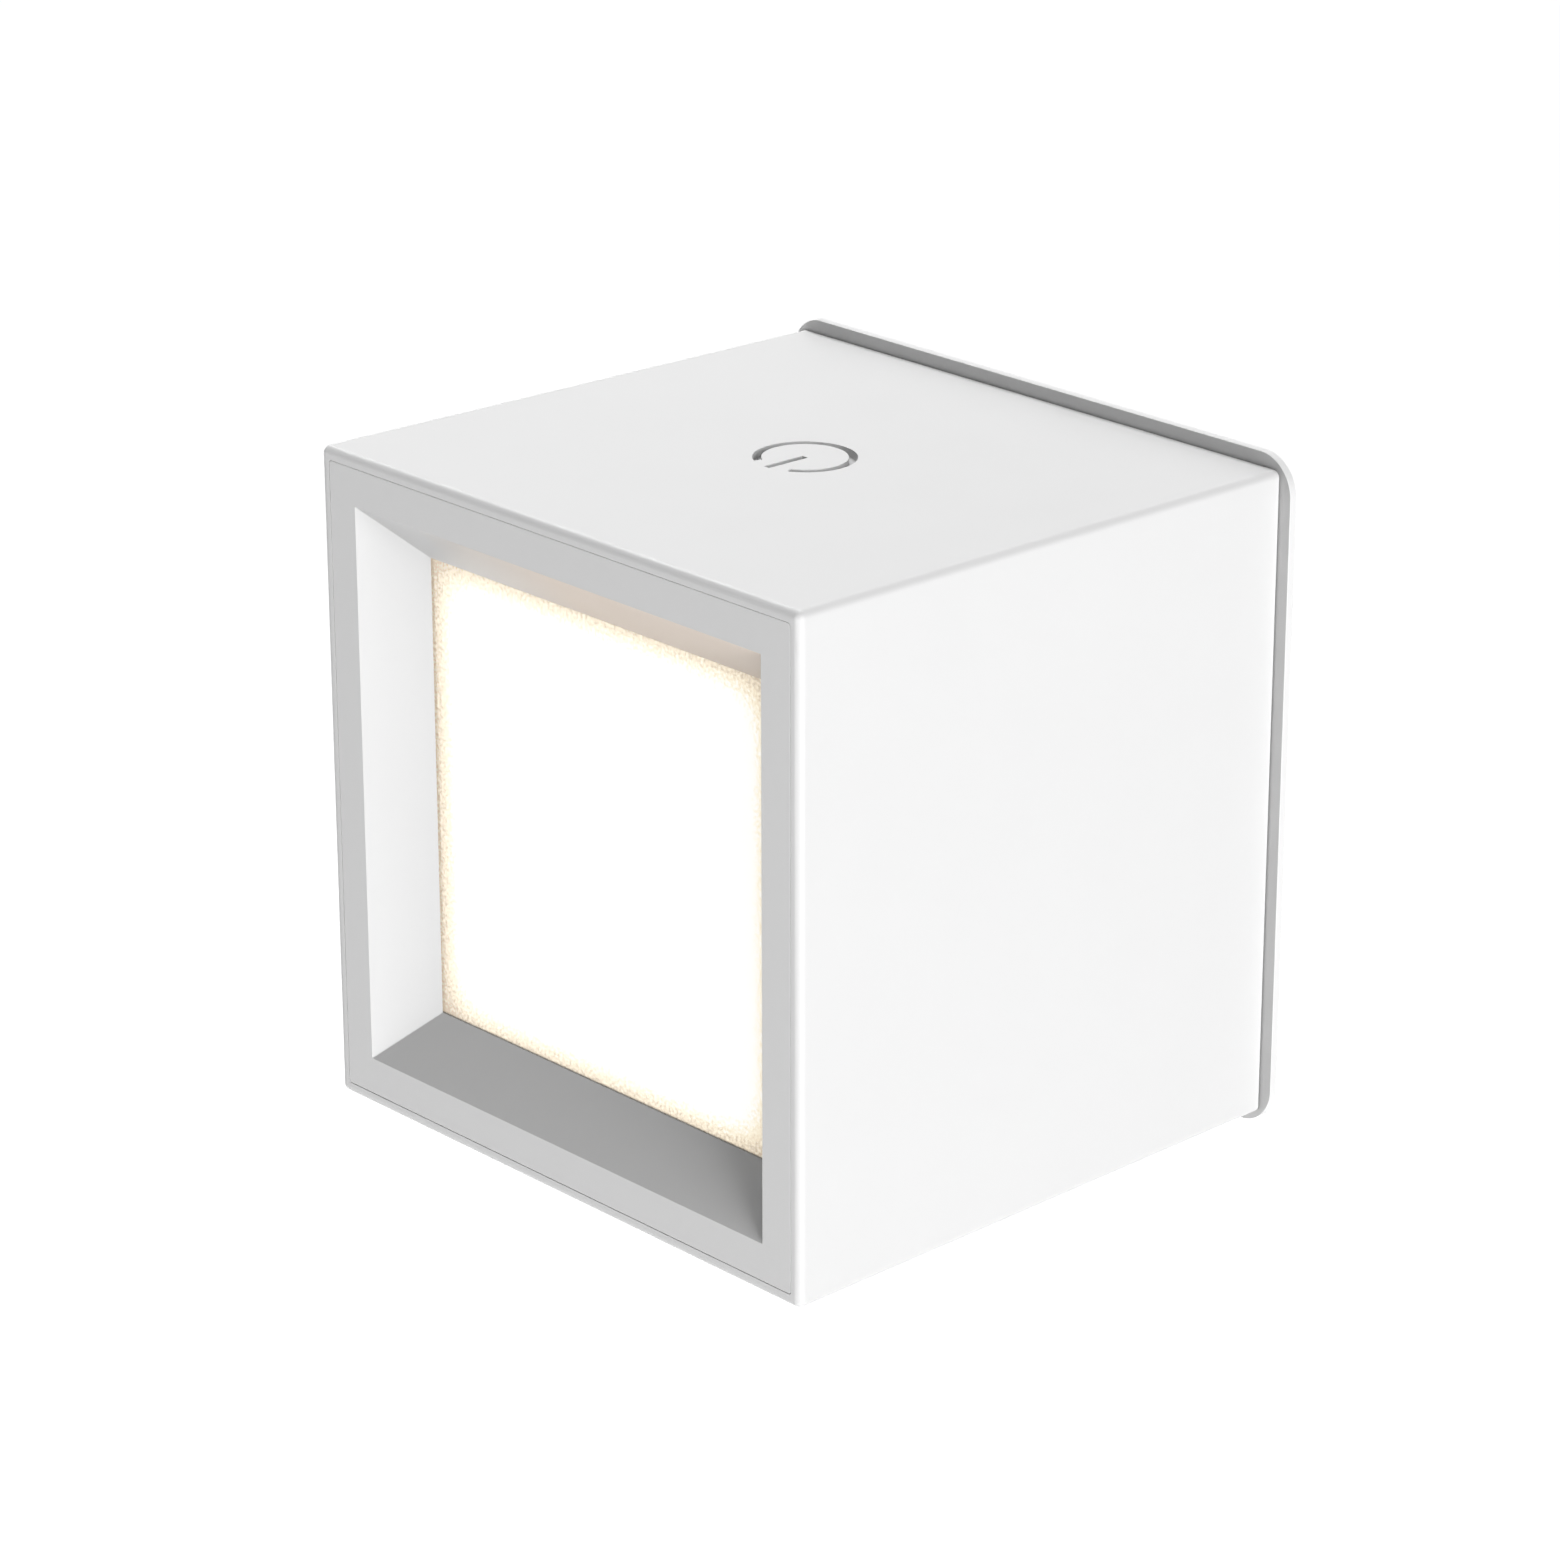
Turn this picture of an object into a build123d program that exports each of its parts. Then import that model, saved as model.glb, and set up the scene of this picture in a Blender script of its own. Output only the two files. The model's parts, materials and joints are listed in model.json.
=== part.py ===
from build123d import *
import os
from math import cos, pi, radians, sin, tan

# Rechargeable wall light: a drafted cube that magnets hold on a steel wall plate.
# Millimetres and degrees. The origin is the centre of the wall plate's back face.
# +X is to the right of someone facing the light, +Z is up, and the light shines along -Y.
# "out" is a distance from the wall, so a point's Y is minus its out.

# Wall plate
plate_size = 102.8
plate_thickness = 1.2
plate_corner_radius = 6.0
plate_edge_radius = 0.12
wall_hole_spacing = 44.0
wall_hole_diameter = 4.5

# Locator ring on the wall plate
locator_size = 64.0
locator_wall = 3.0
locator_height = 4.5
locator_corner_radius = 6.0
locator_lead_in = 0.8
locator_clearance = 0.3
locator_headroom = 1.3
lug_size = 9.0
lug_height = 2.0

# Lamp body
body_width = 100.3
body_depth = 92.5
draft_angle = 0.5
wall_gap = 0.2
shell_wall = 3.0
shell_back_wall = 2.5
shell_rim_wall = 1.8
long_edge_radius = 1.15
front_rim_radius = 1.1
back_rim_radius = 0.12
cavity_corner_radius = 0.5

# Front bezel, with its reveal around the window
bezel_face_width = 7.5
bezel_face_thickness = 2.2
bezel_wall = 2.0
reveal_depth = 7.5
reveal_angle = 45.0
reveal_corner_radius = 0.15
seam_gap = 0.08
seam_edge_radius = 0.1
rebate_depth = 9.0
bezel_seal_thickness = 1.2
collar_wall = 1.8
post_radius = 3.5
post_thread_depth = 9.0

# Light engine
diffuser_thickness = 2.5
diffuser_corner_radius = 2.0
diffuser_clearance = 0.25
diffuser_seal_thickness = 0.4
diffuser_seal_inset = 0.6
reflector_depth = 16.0
reflector_wall = 1.6
reflector_screw_gap = 1.65
reflector_mouth_margin = 0.4
led_board_margin = 9.0
led_board_thickness = 1.6
led_screw_inset = 3.45
lead_pad_inset = 4.6
led_count_per_side = 4
led_pitch = 12.0
led_length = 3.5
led_width = 2.8
led_height = 0.7
led_window_radius = 1.1
led_window_depth = 0.1

# Chassis
sheet = 2.0
sheet_bend_radius = 2.0
chassis_clearance = 1.2
chassis_corner_radius = 3.0
leg_board_gap = 2.5
foot_margin = 4.2
bend_relief = 1.0
grommet_bore_radius = 1.9
grommet_wall = 0.8
grommet_flange = 0.8
grommet_edge_gap = 0.5

# Battery
cell_radius = 9.2
cell_length = 65.2
cell_button_radius = 2.8
cell_button_height = 0.8
cell_gap = 1.0
cell_clearance = 0.2
cradle_base = 2.0
cradle_lift = 0.4
saddle_width = 8.0
saddle_offset = 20.0
clamp_width = 12.0
clamp_wall = 1.8
clamp_foot = 6.0
strip_thickness = 0.2
strip_width = 8.0
stop_thickness = 2.0
stop_width = 7.0

# Control board, on bosses of the shell's back
board_width = 54.0
board_height = 30.0
board_thickness = 1.6
board_boss_radius = 3.0
board_boss_height = 6.5
board_hole_inset = 3.5
board_corner_radius = 1.5
header_length = 8.0
header_width = 6.0
header_height = 6.0
header_wall = 0.6
header_spacing = 30.0
header_rise = 19.5
plug_height = 7.0
plug_clearance = 0.15

# Parts on the control board, placed in steps of a grid from its bottom middle
part_grid = 4.0
charger_chip = 4.0
driver_chip = 5.0
touch_chip = 3.0
chip_height = 0.9
ceramic_length = 3.2
ceramic_width = 1.6
ceramic_height = 1.4
tantalum_length = 3.5
tantalum_width = 2.8
tantalum_height = 1.9
coil_size = 6.0
coil_height = 2.8
coil_corner_radius = 1.0
resistor_count = 5
resistor_pitch = 2.0
resistor_length = 1.6
resistor_width = 0.8
resistor_height = 0.5

# Charging socket in the bottom wall
usb_width = 8.94
usb_thickness = 3.26
usb_length = 7.35
usb_wall = 0.3
usb_tongue_width = 6.7
usb_tongue_thickness = 0.7
usb_tongue_setback = 0.75
usb_base_length = 1.5
usb_mouth_setback = 0.2
usb_overhang = 1.0
port_width = 13.0
port_depth = 7.0
platform_height = 0.6
platform_margin = 3.0
port_seal_margin = 2.0
port_seal_thickness = 1.0
light_pipe_radius = 1.2
light_pipe_offset = 19.0
light_pipe_flange = 0.8

# Silicone cover of the charging socket
cover_thickness = 1.1
cover_margin = 3.0
cover_gap = 0.2
cover_corner_radius = 2.5
cover_plug_height = 1.9
cover_plug_clearance = 0.4
cover_tail_length = 8.0
cover_hinge_gap = 0.3
cover_tab_length = 1.5
cover_tab_width = 5.0
stem_radius = 1.4
stem_barb = 0.7
stem_head = 0.85

# Touch key
symbol_diameter = 15.0
symbol_line = 1.3
symbol_bar_width = 1.2
symbol_gap_angle = 56.0
symbol_depth = 1.2
symbol_setback = 1.2
touch_pad_size = 22.0
touch_pad_thickness = 1.0
touch_seat_margin = 1.0
touch_seat_height = 0.4

# Magnets and grip pads
magnet_radius = 6.0
magnet_thickness = 3.0
magnet_edge = 8.7
magnet_boss_wall = 1.85
magnet_clearance = 0.15
grip_pad_recess = 0.3

# Fasteners and leads
small_thread = 1.25
large_thread = 1.5
thread_clearance = 0.05
through_clearance = 0.2
small_head = 2.3
large_head = 2.8
head_height = 1.8
head_round = 0.7
head_clearance = 1.0
cross_length_share = 1.1
cross_width_share = 0.3
screw_bite = 1.5
lead_radius = 0.6
lead_pair_pitch = 2.0
lead_bend = 5.0
lead_tight_bend = 2.5

# Distances from the wall, and half widths, that follow from the sizes above
plate_front = plate_thickness
shell_back = plate_front + wall_gap
shell_front = shell_back + body_depth
draft = tan(radians(draft_angle))
cavity_back = shell_back + shell_back_wall
pocket_half = locator_size / 2 + locator_clearance
pocket_floor = plate_front + locator_height + locator_headroom
pocket_inside = pocket_floor + shell_back_wall

rim_half = body_width / 2 - shell_rim_wall
bezel_half = rim_half - seam_gap
opening_half = body_width / 2 - bezel_face_width
reveal_slope = tan(radians(reveal_angle))
window_half = opening_half - reveal_depth * reveal_slope
lip_half = window_half + bezel_wall / cos(radians(reveal_angle))
lip_out = shell_front - reveal_depth
step_out = shell_front - rebate_depth
diffuser_half = lip_half - diffuser_clearance
diffuser_front = lip_out - diffuser_seal_thickness
diffuser_rear = diffuser_front - diffuser_thickness
led_front = diffuser_rear - reflector_depth
chassis_front = led_front - led_board_thickness
chassis_rear = chassis_front - sheet
cradle_rear = chassis_rear - cradle_base

cell_out = cradle_rear - cradle_lift - cell_radius
cell_pitch = 2 * cell_radius + cell_gap
clamp_half = cell_pitch / 2 + cell_radius + cell_clearance + clamp_wall
clamp_rear = cell_out - cell_radius - cell_clearance - clamp_wall
clamp_screw_z = clamp_half + clamp_foot / 2
cradle_half_height = clamp_half + clamp_foot
cradle_half_length = cell_length / 2 + strip_thickness + cell_gap + stop_thickness
cradle_screw_x = saddle_offset + saddle_width

board_rear = pocket_inside + board_boss_height
board_front = board_rear + board_thickness
port_out = board_front + usb_thickness / 2


def body_half(out):
    """Half width of the drafted body at a distance from the wall."""
    return body_width / 2 - draft * (shell_front - out)


def cavity_half(out):
    """Half width of the shell's inside at a distance from the wall."""
    return body_half(out) - shell_wall


lug_place = locator_size / 2 - locator_wall - lug_size / 2
magnet_place = body_half(shell_back) - magnet_edge
magnet_seat = shell_back + grip_pad_recess + magnet_thickness

chassis_half = cavity_half(cavity_back) - chassis_clearance
post_place = chassis_half - post_radius
led_board_half = chassis_half - led_board_margin
led_screw_place = led_board_half - led_screw_inset
reflector_base_half = led_screw_place - small_head - reflector_screw_gap - reflector_wall
grommet_radius = grommet_bore_radius + grommet_wall + grommet_flange
grommet_z = -(led_board_half + grommet_edge_gap + grommet_radius)

cover_half_depth = port_depth / 2 + cover_margin
cover_right = port_width / 2 + cover_margin
hinge_x = -cover_right - cover_hinge_gap
tail_right = hinge_x - cover_hinge_gap
tail_left = tail_right - cover_tail_length
stem_x = (tail_left + tail_right) / 2
cover_face_z = -body_half(port_out - cover_half_depth)
cover_inner_z = cover_face_z + cover_thickness
cover_pocket_z = cover_inner_z + cover_gap / 2
platform_z = -cavity_half(port_out - cover_half_depth) + platform_height
socket_mouth_z = platform_z + usb_mouth_setback
board_bottom = socket_mouth_z + usb_overhang
board_top = board_bottom + board_height
board_centre_z = (board_bottom + board_top) / 2
board_hole_x = board_width / 2 - board_hole_inset
header_z = board_bottom + header_rise
plug_front = board_front + header_wall + plug_height
lead_turn = (plug_front + clamp_rear) / 2
lead_end_bend = min(lead_bend, lead_turn - plug_front - lead_radius)

leg_half = -board_top - leg_board_gap
rear_screw_x = locator_size / 2 - locator_wall - large_head - head_clearance
rear_screw_z = leg_half - large_head - through_clearance
foot_tip = rear_screw_x - foot_margin

symbol_out = (shell_back + shell_front) / 2 - symbol_setback
touch_seat_half = touch_pad_size / 2 + touch_seat_margin
touch_seat_z = cavity_half(symbol_out - touch_seat_half) - touch_seat_height
touch_pad_z = touch_seat_z - touch_pad_thickness


def corners(x, z=None):
    """The four places at plus and minus x and z."""
    z = x if z is None else z
    return [(side * x, level * z) for side in (-1, 1) for level in (-1, 1)]


def rounded_square(half, radius):
    return RectangleRounded(2 * half, 2 * half, radius)


def prism(sketch, out_from, out_to):
    """A front-view sketch, extruded between two distances from the wall."""
    return extrude(Plane.XZ.offset(out_from) * sketch, amount=out_to - out_from)


def column(sketch, z_from, z_to):
    """A plan-view sketch, extruded between two heights."""
    return extrude(Plane.XY.offset(z_from) * sketch, amount=z_to - z_from)


def frustum(half_a, out_a, half_b, out_b, radius):
    """A square block that tapers from one half width to another."""
    ends = [
        Plane.XZ.offset(out_a) * rounded_square(half_a, radius),
        Plane.XZ.offset(out_b) * rounded_square(half_b, radius),
    ]
    return loft(ends, ruled=True)


def rod(x, z, radius, out_from, out_to):
    """A cylinder that stands off the wall."""
    return prism(Pos(x, z) * Circle(radius), out_from, out_to)


def rod_along_x(radius, x_from, x_to, out, z):
    place = Pos((x_from + x_to) / 2, -out, z)
    return place * Rot(0, 90, 0) * Cylinder(radius, x_to - x_from)


def block(x_from, x_to, out_from, out_to, z_from, z_to):
    """A box between two corners."""
    place = Pos((x_from + x_to) / 2, -(out_from + out_to) / 2, (z_from + z_to) / 2)
    return place * Box(x_to - x_from, out_to - out_from, z_to - z_from)


def screw(thread_radius, length, head_radius):
    """A pan-head screw with its head above z = 0, its thread below, and a cross recess."""
    head = Pos(0, 0, head_height / 2) * Cylinder(head_radius, head_height)
    head = fillet(head.edges().group_by(Axis.Z)[-1], head_round)
    thread = Pos(0, 0, -length / 2) * Cylinder(thread_radius, length)
    slot = Box(cross_length_share * head_radius, cross_width_share * head_radius, head_height)
    recess = Pos(0, 0, head_height) * (slot + Rot(0, 0, 90) * slot)
    return head + thread - recess


def screws_facing_room(places, seat_out, length, thread_radius, head_radius):
    """Screws whose heads sit on a face that looks away from the wall."""
    seat = Plane.XZ.offset(seat_out).location
    one = screw(thread_radius, length, head_radius)
    return [seat * Pos(x, z) * one for x, z in places]


def screws_facing_wall(places, seat_out, length, thread_radius, head_radius):
    """Screws whose heads sit on a face that looks at the wall."""
    seat = Plane.XZ.offset(seat_out).location
    one = Rot(180, 0, 0) * screw(thread_radius, length, head_radius)
    return [seat * Pos(x, z) * one for x, z in places]


def drill(solid, places, radius, out_from, out_to):
    for x, z in places:
        solid -= rod(x, z, radius, out_from, out_to)
    return solid


def wall_plate():
    plate = prism(rounded_square(plate_size / 2, plate_corner_radius), 0, plate_front)
    plate = fillet(plate.edges().group_by(Axis.Y)[0], plate_edge_radius)
    wall_holes = [(-wall_hole_spacing / 2, 0), (wall_hole_spacing / 2, 0)]
    plate = drill(plate, wall_holes, wall_hole_diameter / 2, 0, plate_front)
    return drill(plate, corners(lug_place), small_thread + thread_clearance, 0, plate_front)


def locator():
    outer = locator_size / 2
    inner = outer - locator_wall
    top = plate_front + locator_height
    ring = prism(rounded_square(outer, locator_corner_radius), plate_front, top)
    ring = chamfer(ring.edges().group_by(Axis.Y)[0], locator_lead_in)
    ring -= prism(rounded_square(inner, locator_corner_radius - locator_wall), plate_front, top)
    lug_top = plate_front + lug_height
    for x, z in corners(lug_place):
        lug = Pos(x, z) * Rectangle(lug_size + locator_lead_in, lug_size + locator_lead_in)
        ring += prism(lug, plate_front, lug_top)
    return drill(ring, corners(lug_place), small_thread + through_clearance, plate_front, lug_top)


def locator_screws():
    seat = plate_front + lug_height
    return screws_facing_room(corners(lug_place), seat, seat, small_thread, small_head)


def cover_outline(x_from, x_to, half_depth, radius):
    """A rounded rectangle in plan, around the charging socket."""
    outline = RectangleRounded(x_to - x_from, 2 * half_depth, radius)
    return Pos((x_from + x_to) / 2, -port_out) * outline


def power_symbol():
    """A broken ring and a bar, both as wide as the engraving tool."""
    radius = symbol_diameter / 2
    ring = Circle(radius) - Circle(radius - symbol_line)
    half_gap = radians(symbol_gap_angle / 2)
    reach = 2 * radius
    edge = (reach * sin(half_gap), -reach * cos(half_gap))
    wedge = Polygon((0, 0), (-edge[0], edge[1]), edge, align=None)
    bar = Pos(0, -radius / 2) * Rectangle(symbol_bar_width, radius)
    return ring - wedge + bar


def engraving():
    """The symbol, cut square to the drafted top face, with its gap towards the front."""
    face = Plane(
        origin=(0, -symbol_out, body_half(symbol_out)),
        x_dir=(1, 0, 0),
        z_dir=(0, draft, 1),
    )
    return extrude(face * power_symbol(), amount=symbol_depth, both=True)


def outer_body():
    """The drafted block that the shell is hollowed out of, with its edges rounded."""
    back_half = body_half(shell_back)
    body = frustum(back_half, shell_back, body_width / 2, shell_front, long_edge_radius)
    body = fillet(body.edges().group_by(Axis.Y)[-1], back_rim_radius)
    return fillet(body.edges().group_by(Axis.Y)[0], front_rim_radius)


def port_cuts():
    """The cover's recess with its nail notch, the charging port, and the holes beside it."""
    below = -body_width / 2
    recess = cover_outline(
        tail_left - cover_gap,
        cover_right + cover_gap,
        cover_half_depth + cover_gap,
        cover_corner_radius + cover_gap,
    )
    notch = Pos(cover_right, -port_out) * Circle(cover_tab_width / 2 + cover_tab_length)
    port = Pos(0, -port_out) * SlotOverall(port_width, port_depth)
    stem_hole = Pos(stem_x, -port_out) * Circle(stem_radius + thread_clearance)
    pipe_hole = Pos(light_pipe_offset, -port_out) * Circle(light_pipe_radius + thread_clearance)
    return [
        column(recess, below, cover_pocket_z),
        column(notch, below, cover_pocket_z),
        column(port, cover_pocket_z, platform_z),
        column(stem_hole, cover_pocket_z, platform_z),
        column(pipe_hole, below, platform_z),
    ]


def body_shell():
    shell = outer_body()
    inner_back = cavity_half(cavity_back)
    inner_front = cavity_half(shell_front)
    shell -= frustum(inner_back, cavity_back, inner_front, shell_front, cavity_corner_radius)
    shell -= prism(rounded_square(rim_half, cavity_corner_radius), step_out, shell_front)

    # Bosses for the control board, and a raised floor whose recess fits over the locator ring
    recess_radius = locator_corner_radius + locator_clearance
    raised = rounded_square(pocket_half + shell_back_wall, recess_radius + shell_back_wall)
    shell += prism(raised, cavity_back, pocket_inside)
    for x, z in board_holes():
        shell += rod(x, z, board_boss_radius, cavity_back, board_rear)
    shell -= prism(rounded_square(pocket_half, recess_radius), shell_back, pocket_floor)
    shell = drill(shell, board_holes(), small_thread + thread_clearance, pocket_inside, board_rear)
    rear_places = corners(rear_screw_x, rear_screw_z)
    shell = drill(shell, rear_places, large_thread + through_clearance, pocket_floor, pocket_inside)

    # Cups for the magnets, open to the wall
    cup_radius = magnet_radius + magnet_clearance
    for x, z in corners(magnet_place):
        shell += rod(x, z, cup_radius + magnet_boss_wall, cavity_back, magnet_seat + shell_back_wall)
        shell -= rod(x, z, cup_radius, shell_back, magnet_seat)

    # Flat seats for the touch electrode and around the charging socket
    shell += block(
        -touch_seat_half,
        touch_seat_half,
        symbol_out - touch_seat_half,
        symbol_out + touch_seat_half,
        touch_seat_z,
        touch_seat_z + shell_wall / 2,
    )
    platform_right = light_pipe_offset + platform_margin
    platform = cover_outline(tail_left, platform_right, cover_half_depth, cover_corner_radius)
    shell += column(platform, platform_z - shell_wall / 2, platform_z)

    for cut in port_cuts():
        shell -= cut
    return shell - engraving()


def front_bezel():
    skirt_end = step_out + bezel_seal_thickness
    bezel = prism(rounded_square(bezel_half, cavity_corner_radius), skirt_end, shell_front)
    bezel = fillet(bezel.edges().group_by(Axis.Y)[0], seam_edge_radius)
    face_back = shell_front - bezel_face_thickness
    bezel -= prism(rounded_square(bezel_half - bezel_wall, cavity_corner_radius), skirt_end, face_back)

    # Sloped wall of the reveal, and the collar that holds the diffuser
    face_middle = shell_front - bezel_face_thickness / 2
    wall_across = bezel_wall / cos(radians(reveal_angle))
    slope = frustum(lip_half, lip_out, opening_half + wall_across, shell_front, reveal_corner_radius)
    keep = rounded_square(bezel_half - bezel_wall / 2, cavity_corner_radius)
    bezel += slope & prism(keep, lip_out, face_middle)
    collar_end = diffuser_rear - reflector_wall
    outline = rounded_square(lip_half + collar_wall, diffuser_corner_radius + collar_wall)
    collar = prism(outline, collar_end, face_back)
    collar -= prism(rounded_square(lip_half, diffuser_corner_radius), collar_end, lip_out)
    bezel += collar

    # Posts that the chassis is screwed to
    for x, z in corners(post_place):
        bezel += rod(x, z, post_radius, chassis_front, face_middle)
    thread_end = chassis_front + post_thread_depth
    thread_radius = large_thread + thread_clearance
    bezel = drill(bezel, corners(post_place), thread_radius, chassis_front, thread_end)
    return bezel - frustum(window_half, lip_out, opening_half, shell_front, reveal_corner_radius)


def square_ring(outer_half, outer_radius, inner_half, inner_radius, out_from, out_to):
    ring = prism(rounded_square(outer_half, outer_radius), out_from, out_to)
    return ring - prism(rounded_square(inner_half, inner_radius), out_from, out_to)


def bezel_seal():
    inner = body_width / 2 - shell_wall
    radius = cavity_corner_radius
    return square_ring(bezel_half, radius, inner, radius, step_out, step_out + bezel_seal_thickness)


def diffuser():
    return prism(rounded_square(diffuser_half, diffuser_corner_radius), diffuser_rear, diffuser_front)


def diffuser_seal():
    inner = window_half + diffuser_seal_inset
    return square_ring(
        diffuser_half, diffuser_corner_radius, inner, reveal_corner_radius, diffuser_front, lip_out
    )


def reflector():
    mouth = window_half + reflector_mouth_margin
    radius = diffuser_corner_radius
    base = reflector_base_half
    wall = reflector_wall
    funnel = frustum(base + wall, led_front, mouth + wall, diffuser_rear, radius + wall)
    funnel += prism(rounded_square(diffuser_half, radius), diffuser_rear - wall, diffuser_rear)
    return funnel - frustum(base, led_front, mouth, diffuser_rear, radius)


def led_board():
    board = prism(rounded_square(led_board_half, diffuser_corner_radius), chassis_front, led_front)
    return drill(
        board, corners(led_screw_place), small_thread + through_clearance, chassis_front, led_front
    )


def led_packages():
    first = -led_pitch * (led_count_per_side - 1) / 2
    steps = [first + led_pitch * index for index in range(led_count_per_side)]
    top = led_front + led_height
    packages = []
    for x in steps:
        for z in steps:
            package = prism(Pos(x, z) * Rectangle(led_length, led_width), led_front, top)
            packages.append(package - rod(x, z, led_window_radius, top - led_window_depth, top))
    return packages


def led_board_screws():
    length = led_board_thickness + sheet
    return screws_facing_room(corners(led_screw_place), led_front, length, small_thread, small_head)


def chassis():
    """Bent sheet: a front plate, two side legs and two feet on the back of the shell."""
    foot_rear = pocket_inside
    foot_front = foot_rear + sheet
    inner_half = chassis_half - sheet
    outside = [
        (-foot_tip, foot_rear),
        (-chassis_half, foot_rear),
        (-chassis_half, chassis_front),
        (chassis_half, chassis_front),
        (chassis_half, foot_rear),
        (foot_tip, foot_rear),
    ]
    inside = [
        (foot_tip, foot_front),
        (inner_half, foot_front),
        (inner_half, chassis_rear),
        (-inner_half, chassis_rear),
        (-inner_half, foot_front),
        (-foot_tip, foot_front),
    ]
    outer_line = FilletPolyline(*[(x, -out) for x, out in outside], radius=sheet_bend_radius + sheet)
    inner_line = FilletPolyline(*[(x, -out) for x, out in inside], radius=sheet_bend_radius)
    ends = [Line(outer_line @ 1, inner_line @ 0), Line(inner_line @ 1, outer_line @ 0)]
    strap = make_face(outer_line.edges() + ends[0].edges() + inner_line.edges() + ends[1].edges())
    bracket = extrude(strap, amount=leg_half, both=True)

    plate = prism(rounded_square(chassis_half, chassis_corner_radius), chassis_rear, chassis_front)
    notch_half = leg_half + bend_relief
    notch_depth = sheet_bend_radius + sheet
    for side in (-1, 1):
        x_pair = sorted((side * (chassis_half - notch_depth), side * chassis_half))
        plate -= block(x_pair[0], x_pair[1], chassis_rear, chassis_front, -notch_half, notch_half)
    body = plate + bracket

    small_hole = small_thread + thread_clearance
    large_hole = large_thread + thread_clearance
    post_hole = large_thread + through_clearance
    grommet_hole = grommet_bore_radius + grommet_wall + thread_clearance
    body = drill(body, corners(post_place), post_hole, chassis_rear, chassis_front)
    body = drill(body, corners(led_screw_place), small_hole, chassis_rear, chassis_front)
    body = drill(body, battery_screw_places(), small_hole, chassis_rear, chassis_front)
    body = drill(body, [(0, grommet_z)], grommet_hole, chassis_rear, chassis_front)
    return drill(body, corners(rear_screw_x, rear_screw_z), large_hole, foot_rear, foot_front)


def bezel_screws():
    length = sheet + post_thread_depth - screw_bite
    return screws_facing_wall(corners(post_place), chassis_rear, length, large_thread, large_head)


def rear_screws():
    length = shell_back_wall + sheet + screw_bite
    places = corners(rear_screw_x, rear_screw_z)
    return screws_facing_wall(places, pocket_floor, length, large_thread, large_head)


def lead_grommet():
    low = chassis_rear - grommet_flange
    high = chassis_front + grommet_flange
    grommet = rod(0, grommet_z, grommet_bore_radius + grommet_wall, low, high)
    grommet += rod(0, grommet_z, grommet_radius, low, chassis_rear)
    grommet += rod(0, grommet_z, grommet_radius, chassis_front, high)
    return grommet - rod(0, grommet_z, grommet_bore_radius, low, high)


def cell_heights():
    return [-cell_pitch / 2, cell_pitch / 2]


def battery_cells():
    end = cell_length / 2
    cells = []
    for z in cell_heights():
        can = rod_along_x(cell_radius, -end, end - cell_button_height, cell_out, z)
        can = fillet(can.edges().filter_by(GeomType.CIRCLE), cell_button_height)
        cells.append(can + rod_along_x(cell_button_radius, 0, end, cell_out, z))
    return cells


def cell_strips():
    reach = cell_pitch / 2 + strip_width / 2
    strips = []
    for side in (-1, 1):
        x_pair = sorted((side * cell_length / 2, side * (cell_length / 2 + strip_thickness)))
        half = strip_width / 2
        strips.append(block(x_pair[0], x_pair[1], cell_out - half, cell_out + half, -reach, reach))
    return strips


def battery_screw_places():
    clamp_places = [(0, -clamp_screw_z), (0, clamp_screw_z)]
    return clamp_places + corners(cradle_screw_x, clamp_screw_z)


def battery_cradle():
    length, height = 2 * cradle_half_length, 2 * cradle_half_height
    cradle = prism(RectangleRounded(length, height, chassis_corner_radius), cradle_rear, chassis_rear)
    saddle_half = saddle_width / 2
    for x in (-saddle_offset, saddle_offset):
        cradle += block(x - saddle_half, x + saddle_half, cell_out, cradle_rear, -clamp_half, clamp_half)
    stop_from = cradle_half_length - stop_thickness
    for side in (-1, 1):
        x_pair = sorted((side * stop_from, side * cradle_half_length))
        for z in cell_heights():
            low = z - stop_width / 2
            cradle += block(x_pair[0], x_pair[1], cell_out, cradle_rear, low, low + stop_width)
    for z in cell_heights():
        cradle -= rod_along_x(cell_radius + cell_clearance, -stop_from, stop_from, cell_out, z)
    hole = small_thread + through_clearance
    return drill(cradle, battery_screw_places(), hole, cradle_rear, chassis_rear)


def battery_clamp():
    half = clamp_width / 2
    clamp = block(-half, half, clamp_rear, cradle_rear, -clamp_half, clamp_half)
    foot_rear = cradle_rear - clamp_wall
    clamp += block(-half, half, foot_rear, cradle_rear, -cradle_half_height, cradle_half_height)
    bore = cell_radius + cell_clearance
    for z in cell_heights():
        clamp -= rod_along_x(bore, -half, half, cell_out, z)
    clamp -= block(-half, half, cell_out - bore, cradle_rear, -cell_pitch / 2, cell_pitch / 2)
    clamp -= block(-half, half, cell_out, cradle_rear, -cell_pitch / 2 - bore, cell_pitch / 2 + bore)
    clamp_places = battery_screw_places()[:2]
    return drill(clamp, clamp_places, small_thread + through_clearance, foot_rear, cradle_rear)


def battery_screws():
    places = battery_screw_places()
    foot_rear = cradle_rear - clamp_wall
    length = cradle_base + sheet
    clamp_set = screws_facing_wall(places[:2], foot_rear, clamp_wall + length, small_thread, small_head)
    return clamp_set + screws_facing_wall(places[2:], cradle_rear, length, small_thread, small_head)


def board_holes():
    places = []
    for x in (-board_hole_x, board_hole_x):
        places.append((x, board_bottom + board_hole_inset))
        places.append((x, board_top - board_hole_inset))
    return places


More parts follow.
